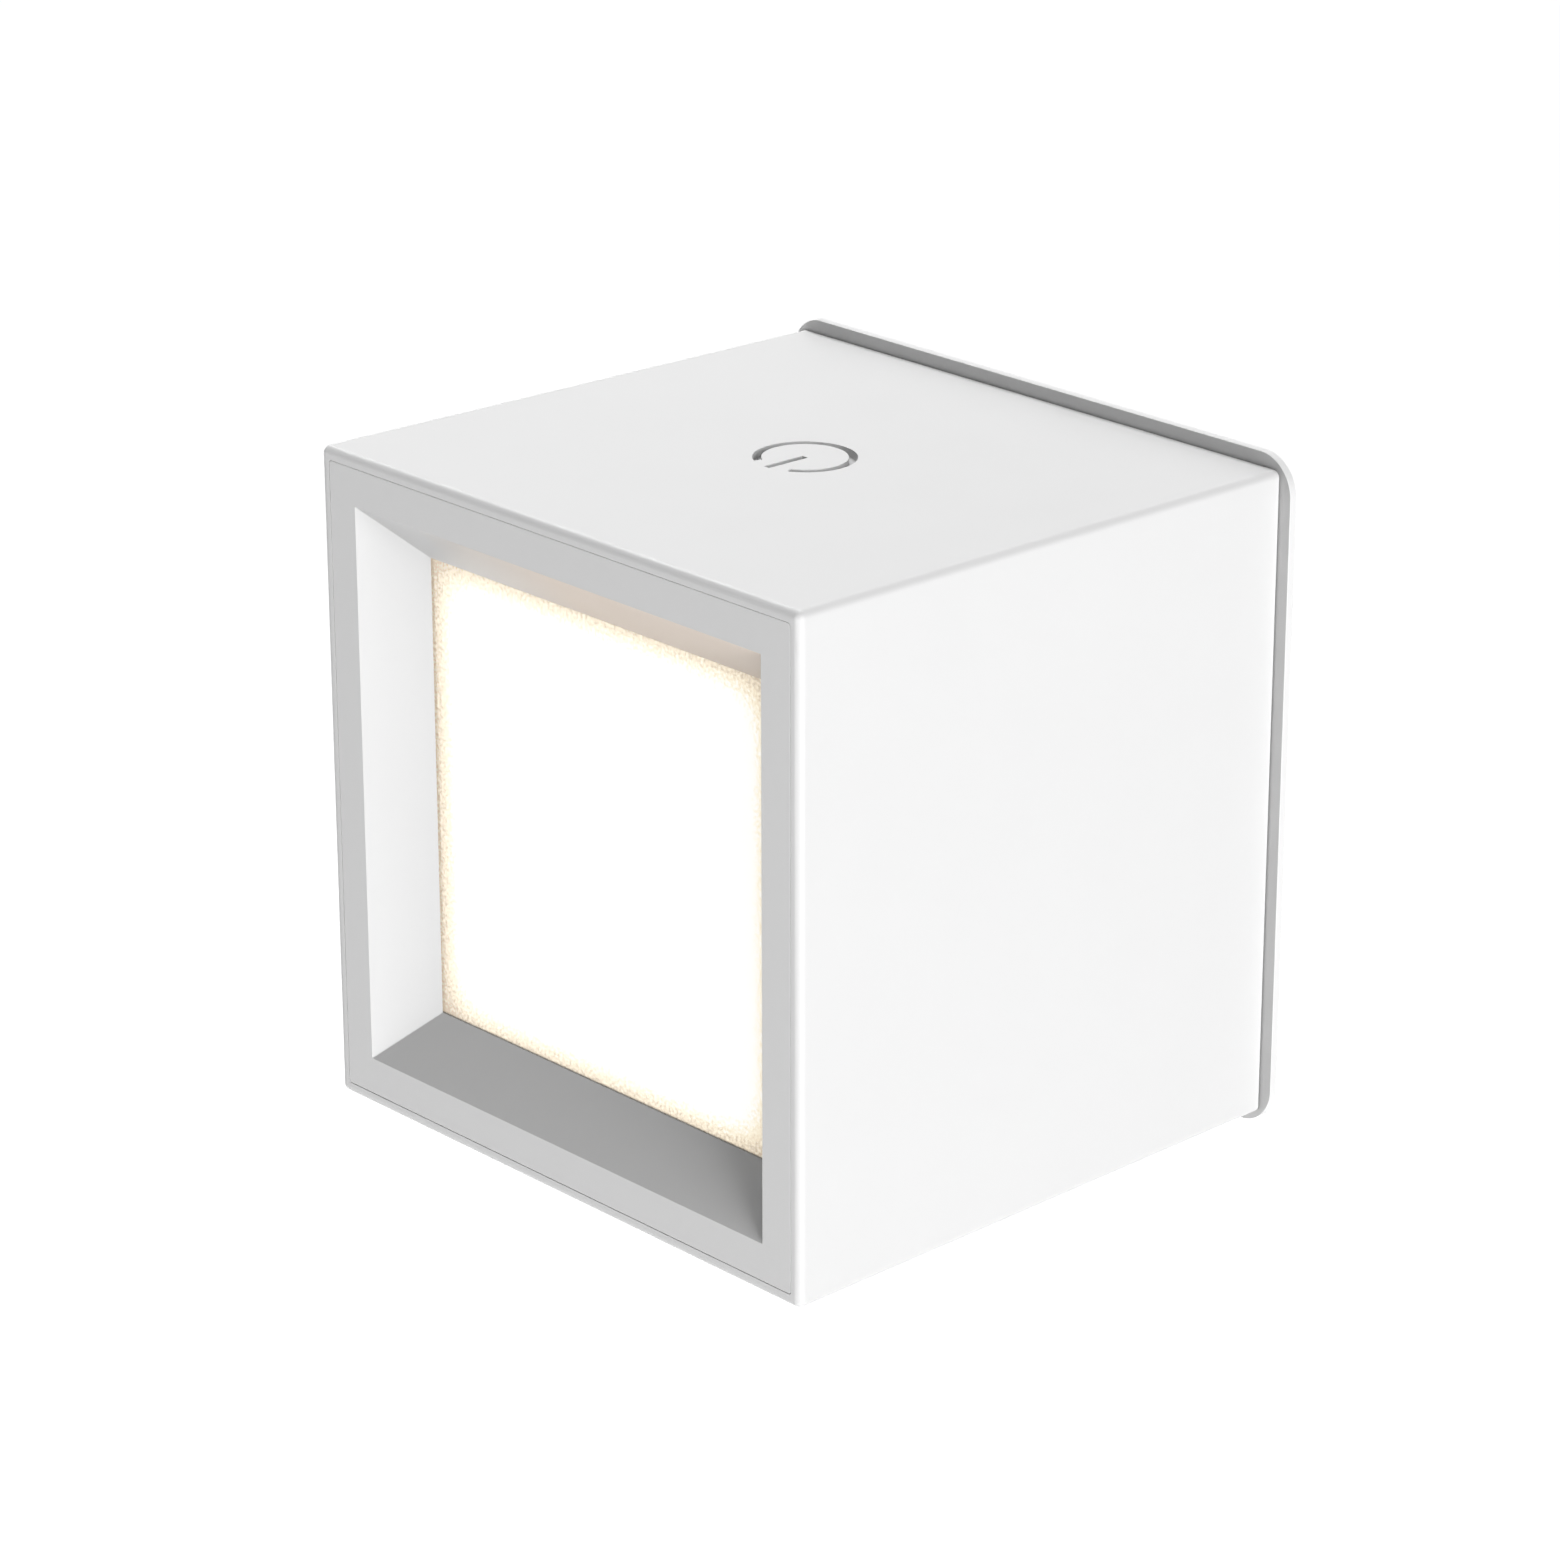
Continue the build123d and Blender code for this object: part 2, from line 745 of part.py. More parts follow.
def control_board():
    outline = RectangleRounded(board_width, board_height, board_corner_radius)
    board = prism(Pos(0, board_centre_z) * outline, board_rear, board_front)
    return drill(board, board_holes(), small_thread + through_clearance, board_rear, board_front)


def board_screws():
    length = board_thickness + board_boss_height - screw_bite
    return screws_facing_room(board_holes(), board_front, length, small_thread, small_head)


def board_part(step_x, step_z, width, height, thickness):
    """A block on the control board, at whole or half steps of the grid."""
    place = Pos(step_x * part_grid, board_bottom + step_z * part_grid)
    return prism(place * Rectangle(width, height), board_front, board_front + thickness)


def board_components():
    """Three chips, two ceramic and two tantalum capacitors, a coil, resistors and the charge light."""
    parts = [
        board_part(-2, 3, charger_chip, charger_chip, chip_height),
        board_part(0, 5, driver_chip, driver_chip, chip_height),
        board_part(0, 6.5, touch_chip, touch_chip, chip_height),
    ]
    for step_x in (-2.5, 3):
        parts.append(board_part(step_x, 6.5, ceramic_length, ceramic_width, ceramic_height))
    for step_z in (1.25, 2.5):
        parts.append(board_part(-4, step_z, tantalum_length, tantalum_width, tantalum_height))
    coil = RectangleRounded(coil_size, coil_size, coil_corner_radius)
    coil_place = Pos(2.5 * part_grid, board_bottom + 3 * part_grid)
    parts.append(prism(coil_place * coil, board_front, board_front + coil_height))
    first = -resistor_pitch * (resistor_count - 1) / 2
    for index in range(resistor_count):
        place = Pos(first + resistor_pitch * index, board_bottom + 4 * part_grid)
        outline = place * Rectangle(resistor_width, resistor_length)
        parts.append(prism(outline, board_front, board_front + resistor_height))
    lamp_size = 2 * light_pipe_radius
    lamp = Pos(light_pipe_offset, board_bottom + light_pipe_radius) * Rectangle(lamp_size, lamp_size)
    parts.append(prism(lamp, board_front, port_out + light_pipe_radius))
    return parts


def header_places():
    return [-header_spacing / 2, header_spacing / 2]


def board_headers():
    outline = Rectangle(header_length, header_width)
    well = Rectangle(header_length - 2 * header_wall, header_width - 2 * header_wall)
    top = board_front + header_height
    headers = []
    for x in header_places():
        place = Pos(x, header_z)
        header = prism(place * outline, board_front, top)
        headers.append(header - prism(place * well, board_front + header_wall, top))
    return headers


def lead_plugs():
    shrink = 2 * (header_wall + plug_clearance)
    outline = RectangleRounded(header_length - shrink, header_width - shrink, header_wall)
    seat = board_front + header_wall
    return [prism(Pos(x, header_z) * outline, seat, plug_front) for x in header_places()]


def socket_outline(grow):
    """Outline of the charging socket in plan, grown or shrunk all round."""
    return Pos(0, -port_out) * SlotOverall(usb_width + 2 * grow, usb_thickness + 2 * grow)


def usb_receptacle():
    top = socket_mouth_z + usb_length
    tube = column(socket_outline(0), socket_mouth_z, top)
    return tube - column(socket_outline(-usb_wall), socket_mouth_z, top - usb_wall)


def usb_tongue():
    top = socket_mouth_z + usb_length - usb_wall
    base = column(socket_outline(-usb_wall - thread_clearance), top - usb_base_length, top)
    blade = Pos(0, -port_out) * Rectangle(usb_tongue_width, usb_tongue_thickness)
    return base + column(blade, socket_mouth_z + usb_tongue_setback, top)


def port_seal():
    grow = 2 * port_seal_margin
    top = platform_z + port_seal_thickness
    outer = Pos(0, -port_out) * SlotOverall(port_width + grow, port_depth + grow)
    return column(outer, platform_z, top) - column(socket_outline(plug_clearance), platform_z, top)


def light_pipe():
    place = Pos(light_pipe_offset, -port_out)
    low = -body_half(port_out - light_pipe_radius)
    pipe = column(place * Circle(light_pipe_radius), low, board_bottom)
    flange = place * Circle(light_pipe_radius + light_pipe_flange)
    return pipe + column(flange, platform_z, platform_z + light_pipe_flange)


def touch_pad():
    outline = Pos(0, -symbol_out) * RectangleRounded(touch_pad_size, touch_pad_size, touch_seat_margin)
    return column(outline, touch_pad_z, touch_seat_z)


def magnets():
    seat = magnet_seat - magnet_thickness
    return [rod(x, z, magnet_radius, seat, magnet_seat) for x, z in corners(magnet_place)]


def grip_pads():
    top = shell_back + grip_pad_recess
    return [rod(x, z, magnet_radius, plate_front, top) for x, z in corners(magnet_place)]


def port_cover():
    """The flap, square at its hinge, with a nail tab and a plug for the port."""
    rounded = cover_outline(-cover_right, cover_right, cover_half_depth, cover_corner_radius)
    square_end = cover_outline(-cover_right, 0, cover_half_depth, cover_thickness / 2)
    tab = Pos(cover_right, -port_out) * Rectangle(2 * cover_tab_length, cover_tab_width)
    flap = column(rounded, cover_face_z, cover_inner_z)
    flap += column(square_end, cover_face_z, cover_inner_z)
    flap += column(tab, cover_face_z, cover_inner_z)
    shrink = 2 * cover_plug_clearance
    stopper = Pos(0, -port_out) * SlotOverall(port_width - shrink, port_depth - shrink)
    return flap + column(stopper, cover_inner_z, cover_inner_z + cover_plug_height)


def port_cover_tail():
    """The fixed end of the cover, square at the hinge, with a barbed stem through the shell."""
    rounded = cover_outline(tail_left, tail_right, cover_half_depth, cover_corner_radius)
    square_end = cover_outline(stem_x, tail_right, cover_half_depth, cover_thickness / 2)
    tail = column(rounded, cover_face_z, cover_inner_z)
    tail += column(square_end, cover_face_z, cover_inner_z)
    place = Pos(stem_x, -port_out)
    barb_top = platform_z + stem_head
    tail += column(place * Circle(stem_radius), cover_inner_z, barb_top)
    return tail + column(place * Circle(stem_radius + stem_barb), platform_z, barb_top)


def lead(name, stations, bends):
    """A round wire through points given as x, out and z, with an arc at each corner."""
    path = FilletPolyline(*[(x, -out, z) for x, out, z in stations], radius=bends)
    start = Plane(origin=path @ 0, z_dir=path % 0)
    wire = sweep(start * Circle(lead_radius), path=path)
    share = wire.volume / (pi * lead_radius**2 * path.length)
    print(f"{name}: length {path.length:.1f} mm, volume over section times length {share:.4f}")
    return wire


def led_lead(name, side):
    """From a pad on the light board, through the grommet, to the left plug."""
    x = side * lead_pair_pitch / 2
    board_pad_out = led_front + lead_radius
    pad_z = -(led_board_half - lead_pad_inset)
    end_x = -header_spacing / 2 + x
    stations = [
        (x, board_pad_out, pad_z),
        (x, board_pad_out, grommet_z),
        (x, clamp_rear, grommet_z),
        (end_x, lead_turn, header_z),
        (end_x, plug_front, header_z),
    ]
    return lead(name, stations, [lead_tight_bend, lead_bend, lead_end_bend])


def battery_lead(name, side):
    """From the strip on one end of the cells to the right plug."""
    x = side * (cell_length / 2 + strip_thickness + lead_radius)
    end_x = header_spacing / 2 + side * lead_pair_pitch / 2
    stations = [
        (x, cell_out + strip_width / 2, 0),
        (x, lead_turn, 0),
        (end_x, lead_turn, header_z),
        (end_x, plug_front, header_z),
    ]
    return lead(name, stations, [lead_bend, lead_end_bend])


def touch_lead():
    """From the touch electrode, along the top and down to the control board."""
    x = touch_pad_size / 4
    run_z = touch_pad_z - lead_radius
    drop_out = plug_front + lead_bend / 2
    board_z = board_top - board_hole_inset
    stations = [
        (x, symbol_out, run_z),
        (x, drop_out, run_z),
        (x, drop_out, board_z),
        (x, board_front, board_z),
    ]
    return lead("touch_lead", stations, [lead_bend, lead_bend])


nodes = {
    "wall_plate": wall_plate(),
    "locator": locator(),
    "locator_screws": locator_screws(),
    "body_shell": body_shell(),
    "front_bezel": front_bezel(),
    "bezel_seal": bezel_seal(),
    "diffuser": diffuser(),
    "diffuser_seal": diffuser_seal(),
    "reflector": reflector(),
    "led_board": led_board(),
    "led_packages": led_packages(),
    "led_board_screws": led_board_screws(),
    "chassis": chassis(),
    "bezel_screws": bezel_screws(),
    "rear_screws": rear_screws(),
    "lead_grommet": lead_grommet(),
    "battery_cells": battery_cells(),
    "cell_strips": cell_strips(),
    "battery_cradle": battery_cradle(),
    "battery_clamp": battery_clamp(),
    "battery_screws": battery_screws(),
    "control_board": control_board(),
    "board_components": board_components(),
    "board_headers": board_headers(),
    "lead_plugs": lead_plugs(),
    "board_screws": board_screws(),
    "usb_receptacle": usb_receptacle(),
    "usb_tongue": usb_tongue(),
    "port_seal": port_seal(),
    "light_pipe": light_pipe(),
    "touch_pad": touch_pad(),
    "touch_lead": touch_lead(),
    "led_lead_red": led_lead("led_lead_red", 1),
    "led_lead_black": led_lead("led_lead_black", -1),
    "battery_lead_red": battery_lead("battery_lead_red", 1),
    "battery_lead_black": battery_lead("battery_lead_black", -1),
    "magnets": magnets(),
    "grip_pads": grip_pads(),
    "port_cover": port_cover(),
    "port_cover_tail": port_cover_tail(),
}

os.makedirs("parts", exist_ok=True)
for name, shape in nodes.items():
    if isinstance(shape, list):
        shape = Compound(children=shape)
    export_step(shape, f"parts/{name}.step")
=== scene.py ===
import json
from math import pi, radians

import bmesh
import bpy
from mathutils import Matrix, Vector

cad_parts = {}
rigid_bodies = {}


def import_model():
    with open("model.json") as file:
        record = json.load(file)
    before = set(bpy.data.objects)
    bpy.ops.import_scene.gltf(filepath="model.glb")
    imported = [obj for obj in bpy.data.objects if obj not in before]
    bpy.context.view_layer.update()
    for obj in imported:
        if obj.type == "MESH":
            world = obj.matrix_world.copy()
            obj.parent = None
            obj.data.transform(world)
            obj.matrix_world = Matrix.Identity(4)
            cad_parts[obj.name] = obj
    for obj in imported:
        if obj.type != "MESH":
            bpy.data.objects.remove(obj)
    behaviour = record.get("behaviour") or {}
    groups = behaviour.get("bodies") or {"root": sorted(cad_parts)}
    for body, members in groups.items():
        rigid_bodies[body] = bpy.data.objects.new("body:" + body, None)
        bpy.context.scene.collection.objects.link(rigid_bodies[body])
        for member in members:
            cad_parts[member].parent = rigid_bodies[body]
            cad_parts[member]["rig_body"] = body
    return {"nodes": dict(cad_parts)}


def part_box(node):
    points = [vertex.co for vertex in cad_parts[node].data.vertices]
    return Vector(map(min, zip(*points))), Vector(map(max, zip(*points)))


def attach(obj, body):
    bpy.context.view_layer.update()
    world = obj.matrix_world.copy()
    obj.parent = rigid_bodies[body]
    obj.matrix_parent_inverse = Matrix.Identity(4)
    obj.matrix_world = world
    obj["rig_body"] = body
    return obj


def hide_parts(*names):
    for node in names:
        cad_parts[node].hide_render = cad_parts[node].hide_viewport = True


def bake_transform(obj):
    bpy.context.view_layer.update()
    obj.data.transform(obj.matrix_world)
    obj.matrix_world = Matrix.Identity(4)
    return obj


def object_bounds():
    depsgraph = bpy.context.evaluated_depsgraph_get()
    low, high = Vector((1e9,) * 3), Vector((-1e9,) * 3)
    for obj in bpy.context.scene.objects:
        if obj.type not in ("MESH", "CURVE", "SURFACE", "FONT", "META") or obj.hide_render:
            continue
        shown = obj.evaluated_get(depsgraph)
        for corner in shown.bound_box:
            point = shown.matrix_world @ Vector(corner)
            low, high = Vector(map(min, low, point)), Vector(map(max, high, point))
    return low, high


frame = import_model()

cad_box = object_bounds()
collection = bpy.context.scene.collection
mm = 0.001

# Where the photograph was taken from: metres and degrees
camera_place = Vector((0.52434, -0.5327, 0.27317))
camera_azimuth = 47.449
camera_elevation = 20.853
camera_roll = -0.1
camera_lens = 122.04
camera_sensor = 36.0

# Studio: metres and degrees. A lamp has its azimuth, elevation, size, and the light that it gives a white
# surface that faces it.
floor_height = -1.2
floor_size = 60.0
lamp_distance = 2.5
lamps = {
    "right_high": (75.0, 14.0, 1.2, 0.54),
    "right_low": (80.0, -20.0, 1.2, 0.29),
    "right_front": (60.0, -15.0, 1.2, 0.21),
    "front": (341.0, -17.0, 1.2, 0.28),
    "back_left": (242.0, 52.0, 1.2, 0.74),
    "back_low": (200.0, 20.0, 1.2, 0.15),
}
room_light = 0.02
floor_glow = 0.99

# The glowing panel: sizes in mm, and its colours by their distance inside the edge of the window.
# The glow sits a little to the right of the window's middle, and its rim breaks up into grains.
window_half = 35.15
glow_strength = 0.62
glow_corner = 11.0
glow_centre = (0.6, 0.0, 0.0)
speckle_size = 0.5
speckle_reach = 7.0
glow_stops = [
    (-1.4, "#B09C7E"),
    (0.0, "#CCB998"),
    (0.5, "#E6CFA8"),
    (1.3, "#F3E4C0"),
    (2.0, "#FCF0D0"),
    (3.2, "#FFFFFF"),
]
# The panel's own colour by the same distance: darker under the frame's lip, as painted shade
panel_shade_stops = [
    (-1.4, "#D6CCC0"),
    (0.0, "#EEE8E0"),
    (0.6, "#F1EAE0"),
    (2.0, "#F4F1EA"),
]

# The wall plate, in mm: its corners, how far inside its outline the rim's painted highlight begins and is
# full, and that highlight's colour
plate_corner = 6.0
rim_highlight_begins = 0.15
rim_highlight_full = 0.03
rim_highlight_white = "#FCFCFC"

# The slope above the panel, in mm: how far the panel's painted gleam on it reaches from the window,
# where along it that painted gleam sets in and is full, and its colour
tint_reach = 7.5
tint_from = -30.0
tint_full = 0.0
tint_colour = "#F3E4D6"

# The engraved symbol, in mm: the middle of its ring on the top face, how far it reaches, the middle and
# half of its groove's height, and the grey of the shade painted into its groove
symbol_place = (0.0, -46.45, 49.74)
symbol_reach = 9.0
symbol_middle = 49.05
symbol_half = 0.6
symbol_shade_grey = "#D6D6D6"

# The battery's bare ends and the board's copper tracks, in mm
bare_end = 0.6
bare_steel = "#C9C6BF"
track_length = 7.0
track_pitch = 1.3
track_width = 0.12
track_green = "#2F7A4C"

# Screws: pitch in mm, the thread's height as a share of the pitch, by how many of those heights the core
# is slimmer, and the head's dome and cross recess as shares of its radius (across) and height (along)
screw_pitch = 0.7
thread_height = 0.34
thread_sink = 1.2
dome_across = 1.18
dome_along = 1.5
slot_length = 1.2
slot_width = 0.26
slot_depth = 1.3

# Other small pieces, in mm. The first rib's radius is a share of the step between ribs, and the light
# window's width a share of its package's.
pad_rib_height = 0.15
pad_ribs = 5
pad_first_rib = 0.6
contact_pitch = 0.5
contacts_per_side = 12
contact_width = 0.25
contact_depth = 0.06
contact_length = 3.6
contact_setback = 0.3
light_window = 0.7
light_window_dome = 0.2
web_thickness = 0.5
web_sink = 0.3
web_cuts = 9

# Reading the CAD meshes: corners nearer than the weld, in metres, are one, and a point within reach of
# an end, a side or a mouth, in mm, belongs to it
weld = 1e-7
end_reach = 0.3
side_reach = 0.05
mouth_reach = 0.5

# Edges sharper than this stay sharp, in degrees: on pieces grown from a tree, and on the charging cover
grown_edge = 35.0
cover_edge = 30.0

# The part of a noise's range over which a finish drifts from one roughness to the other
drift_from = 0.3
drift_full = 0.7


def linear(code):
    """An sRGB hex colour as linear red, green, blue and alpha."""
    parts = [int(code[index:index + 2], 16) / 255 for index in (1, 3, 5)]
    return (*(part / 12.92 if part <= 0.04045 else ((part + 0.055) / 1.055) ** 2.4 for part in parts), 1.0)


def add(tree, kind, inputs=None, **settings):
    """Adds a node. Settings are its own properties. Inputs, by name or place, are values, outputs to
    link, or nodes, which stand for their first output. A list links several to one input."""
    made = tree.nodes.new(kind)
    for name, value in settings.items():
        setattr(made, name, value)
    for key, value in (inputs or {}).items():
        for source in value if isinstance(value, list) else [value]:
            if isinstance(source, bpy.types.Node):
                source = source.outputs[0]
            if isinstance(source, bpy.types.NodeSocket):
                tree.links.new(source, made.inputs[key])
            else:
                made.inputs[key].default_value = source
    return made


def finish(name, colours, patch, roughness, grain, depth, stretch=(1, 1, 1), **shader):
    """A material whose colour and roughness drift between two values over patches of one size, with
    bumps of another size and depth. Sizes are in mm. Stretch draws the pattern out along an axis."""
    made = bpy.data.materials.new(name)
    made.use_nodes = True
    tree = made.node_tree
    tree.nodes.clear()
    place = add(tree, "ShaderNodeTexCoord").outputs["Object"]
    place = add(tree, "ShaderNodeMapping", {"Vector": place, "Scale": stretch})
    drift = add(tree, "ShaderNodeTexNoise", {"Vector": place, "Scale": 1 / (patch * mm), "Detail": 3.0})
    bumps = add(tree, "ShaderNodeTexNoise", {"Vector": place, "Scale": 1 / (grain * mm), "Detail": 2.0})
    one, other = (linear(code) for code in colours)
    colour = add(tree, "ShaderNodeMix", {0: drift, 6: one, 7: other}, data_type="RGBA")
    gloss = add(tree, "ShaderNodeMapRange", {
        "Value": drift,
        "From Min": drift_from,
        "From Max": drift_full,
        "To Min": roughness[0],
        "To Max": roughness[1],
    })
    relief = add(tree, "ShaderNodeBump", {"Height": bumps, "Distance": depth * mm})
    skin = add(tree, "ShaderNodeBsdfPrincipled", {
        "Base Color": colour.outputs[2],
        "Roughness": gloss,
        "Normal": relief,
        **{key.replace("_", " "): value for key, value in shader.items()},
    }, name="skin")
    add(tree, "ShaderNodeOutputMaterial", {"Surface": skin})
    return made


def overlay(made, share, code):
    """Lays a colour over a material, by a share from 0 to 1."""
    tree = made.node_tree
    skin = tree.nodes["skin"]
    plain = skin.inputs["Base Color"].links[0].from_socket
    colour = add(tree, "ShaderNodeMix", {0: share, 6: plain, 7: linear(code)}, data_type="RGBA")
    tree.links.new(colour.outputs[2], skin.inputs["Base Color"])


# Injection-moulded ABS: a near-white satin with a fine spark texture that spreads the highlights
moulded_abs = {
    "colours": ("#F3F3F3", "#F5F5F5"),
    "patch": 14,
    "roughness": (0.42, 0.5),
    "grain": 0.45,
    "depth": 0.004,
    "IOR": 1.54,
}

# Glass-filled nylon, moulded: mid grey and matt, with short fibres that show as faint streaks
filled_nylon = finish(
    "glass_filled_nylon", ("#6C6F72", "#7B7E80"), 2.2, (0.5, 0.68), 0.6, 0.012, (1, 1, 0.35), IOR=1.53,
)

# Zinc-plated steel: a bright, slightly blue metal, uneven from the plating bath
zinc_plate = finish("zinc_plated_steel", ("#B9BEC4", "#CFD2D4"), 1.5, (0.24, 0.4), 0.4, 0.004, Metallic=1.0)

# Clear silicone, moulded: translucent with a soft sheen
clear_silicone = finish(
    "clear_silicone", ("#E6EAEA", "#F0F2F1"), 6, (0.3, 0.42), 0.8, 0.004, IOR=1.41, Transmission_Weight=0.8,
)

# White silicone, moulded: a soft matt skin with fine flow mottling
white_silicone = finish("white_silicone", ("#E9E9E6", "#F0F0EE"), 5, (0.52, 0.66), 0.5, 0.006, IOR=1.41)

# Nitrile rubber, moulded: nearly black, dry and matt
black_rubber = finish("black_rubber", ("#161617", "#232324"), 3, (0.68, 0.85), 0.35, 0.012, IOR=1.52)

# White polycarbonate, moulded: bright and diffuse, to throw light forward
white_polycarbonate = finish(
    "white_polycarbonate", ("#F4F4F1", "#F9F9F7"), 12, (0.55, 0.65), 0.5, 0.005, IOR=1.58,
)

# White solder mask over an aluminium-core board: smooth, with the faint waves of a sprayed coat
white_mask = finish("white_solder_mask", ("#EDEEEC", "#F5F5F3"), 4, (0.24, 0.36), 1.2, 0.008, IOR=1.5)

# Moulded white resin: the chalky body of a light package
white_resin = finish("white_resin", ("#EEECE4", "#F4F2EC"), 1.2, (0.4, 0.52), 0.2, 0.004, IOR=1.54)

# Phosphor in silicone: yellow grains below a glossy skin
phosphor = finish("phosphor_silicone", ("#E3B93C", "#F2D264"), 0.15, (0.18, 0.28), 0.25, 0.004, IOR=1.41)

# Mill-finish aluminium sheet: fine rolling lines in one direction
mill_aluminium = finish(
    "mill_aluminium", ("#BFC1C3", "#CDCFD0"), 1.2, (0.28, 0.42), 0.3, 0.003, (0.05, 1, 1), Metallic=1.0,
)

# Nickel-plated steel: bright, faintly yellow, with small stains
nickel_plate = finish(
    "nickel_plated_steel", ("#C3BEB3", "#D2CDC4"), 2.5, (0.16, 0.3), 0.5, 0.003, Metallic=1.0,
)

# Moulded epoxy: the charcoal skin of chips and coils
moulded_epoxy = finish("moulded_epoxy", ("#1F2022", "#2B2C2E"), 1.4, (0.48, 0.62), 0.25, 0.008, IOR=1.55)

# Natural nylon, moulded: the warm white of plug housings
natural_nylon = finish("natural_nylon", ("#E8E3D5", "#F0ECE0"), 3, (0.36, 0.48), 0.5, 0.005, IOR=1.53)

# Black liquid-crystal polymer, moulded: smooth and dark
black_polymer = finish("black_polymer", ("#141415", "#1D1D1F"), 2, (0.3, 0.42), 0.4, 0.004, IOR=1.6)

# Stainless steel, drawn: bright, with fine lines along the shell
stainless_steel = finish(
    "stainless_steel", ("#B4B3B0", "#C6C5C2"), 0.8, (0.2, 0.34), 0.25, 0.003, (1, 1, 0.08), Metallic=1.0,
)

# Gold-plated copper alloy: the contacts
gold_plate = finish(
    "gold_plated_contact", ("#D9B25A", "#E6C673"), 0.6, (0.16, 0.26), 0.2, 0.002, Metallic=1.0,
)

# Clear acrylic, moulded: a polished rod
clear_acrylic = finish(
    "clear_acrylic", ("#F4F7F7", "#FBFCFC"), 4, (0.06, 0.12), 0.8, 0.002, IOR=1.49, Transmission_Weight=0.9,
)

# Copper foil: warm metal that has begun to dull
copper_foil = finish("copper_foil", ("#B87350", "#CB8A63"), 3, (0.26, 0.42), 0.5, 0.004, Metallic=1.0)

# Extruded PVC insulation: satin, with slight waves along the wire
red_pvc = finish("red_pvc", ("#A81E1B", "#B92622"), 3, (0.34, 0.46), 1.0, 0.01, IOR=1.53)
black_pvc = finish("black_pvc", ("#161616", "#202020"), 3, (0.34, 0.46), 1.0, 0.01, IOR=1.53)
white_pvc = finish("white_pvc", ("#E2E1DC", "#EBEAE6"), 3, (0.34, 0.46), 1.0, 0.01, IOR=1.53)


def powder_coat():
    """Powder-coated steel: off-white with a shallow orange peel, and whiter along the rim: a painted
    highlight where the rim catches the light."""
    made = finish("powder_coated_steel", ("#C5C5C5", "#C9C9C9"), 9, (0.38, 0.48), 1.6, 0.02, IOR=1.5)
    tree = made.node_tree
    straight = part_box("wall_plate")[1].x - plate_corner * mm
    place = add(tree, "ShaderNodeTexCoord").outputs["Object"]
    flat = add(tree, "ShaderNodeVectorMath", {0: place, 1: (1, 0, 1)}, operation="MULTIPLY")
    away = add(tree, "ShaderNodeVectorMath", {0: flat}, operation="ABSOLUTE")
    beyond = add(tree, "ShaderNodeVectorMath", {0: away, 1: (straight, 0, straight)}, operation="SUBTRACT")
    corner = add(tree, "ShaderNodeVectorMath", {0: beyond, 1: (0, 0, 0)}, operation="MAXIMUM")
    reach = add(tree, "ShaderNodeVectorMath", {0: corner}, operation="LENGTH")
    # Painted highlight: the colour turns whiter along the rim, where it catches the light
    rim = add(tree, "ShaderNodeMapRange", {
        "Value": reach.outputs["Value"],
        "From Min": (plate_corner - rim_highlight_begins) * mm,
        "From Max": (plate_corner - rim_highlight_full) * mm,
    })
    overlay(made, rim, rim_highlight_white)
    return made


def engraved_abs():
    """The shell's ABS, with painted shade: a grey laid into the groove of the engraved symbol."""
    made = finish("engraved_abs", **moulded_abs)
    tree = made.node_tree
    place = add(tree, "ShaderNodeTexCoord").outputs["Object"]
    away = add(tree, "ShaderNodeVectorMath", {0: place, 1: Vector(symbol_place) * mm}, operation="DISTANCE")
    near = add(tree, "ShaderNodeMath", {
        0: away.outputs["Value"], 1: symbol_reach * mm,
    }, operation="LESS_THAN")
    height = add(tree, "ShaderNodeSeparateXYZ", {0: place}).outputs["Z"]
    below = add(tree, "ShaderNodeMath", {
        0: height, 1: symbol_middle * mm, 2: symbol_half * mm,
    }, operation="COMPARE")
    # Painted shade: grey laid into the symbol's groove
    groove = add(tree, "ShaderNodeMath", {0: near, 1: below}, operation="MULTIPLY")
    overlay(made, groove, symbol_shade_grey)
    return made


def gleam_painted_abs():
    """The frame's ABS, with a painted reflection: the lit panel's faint warm gleam laid into the colour of
    the slope above it.
    """
    made = finish("gleam_painted_abs", **moulded_abs)
    tree = made.node_tree
    place = add(tree, "ShaderNodeSeparateXYZ", {0: add(tree, "ShaderNodeTexCoord").outputs["Object"]}).outputs
    aside = add(tree, "ShaderNodeMath", {0: place["X"]}, operation="ABSOLUTE")
    above = add(tree, "ShaderNodeMath", {0: place["Z"], 1: aside}, operation="GREATER_THAN")
    low = add(tree, "ShaderNodeMath", {
        0: place["Z"], 1: (window_half + tint_reach) * mm,
    }, operation="LESS_THAN")
    slope = add(tree, "ShaderNodeMath", {0: above, 1: low}, operation="MULTIPLY")
    along = add(tree, "ShaderNodeMapRange", {
        "Value": place["X"], "From Min": tint_from * mm, "From Max": tint_full * mm,
    })
    # Painted reflection: the panel's warm gleam on the slope, in the frame's colour
    tint = add(tree, "ShaderNodeMath", {0: slope, 1: along}, operation="MULTIPLY")
    overlay(made, tint, tint_colour)
    return made


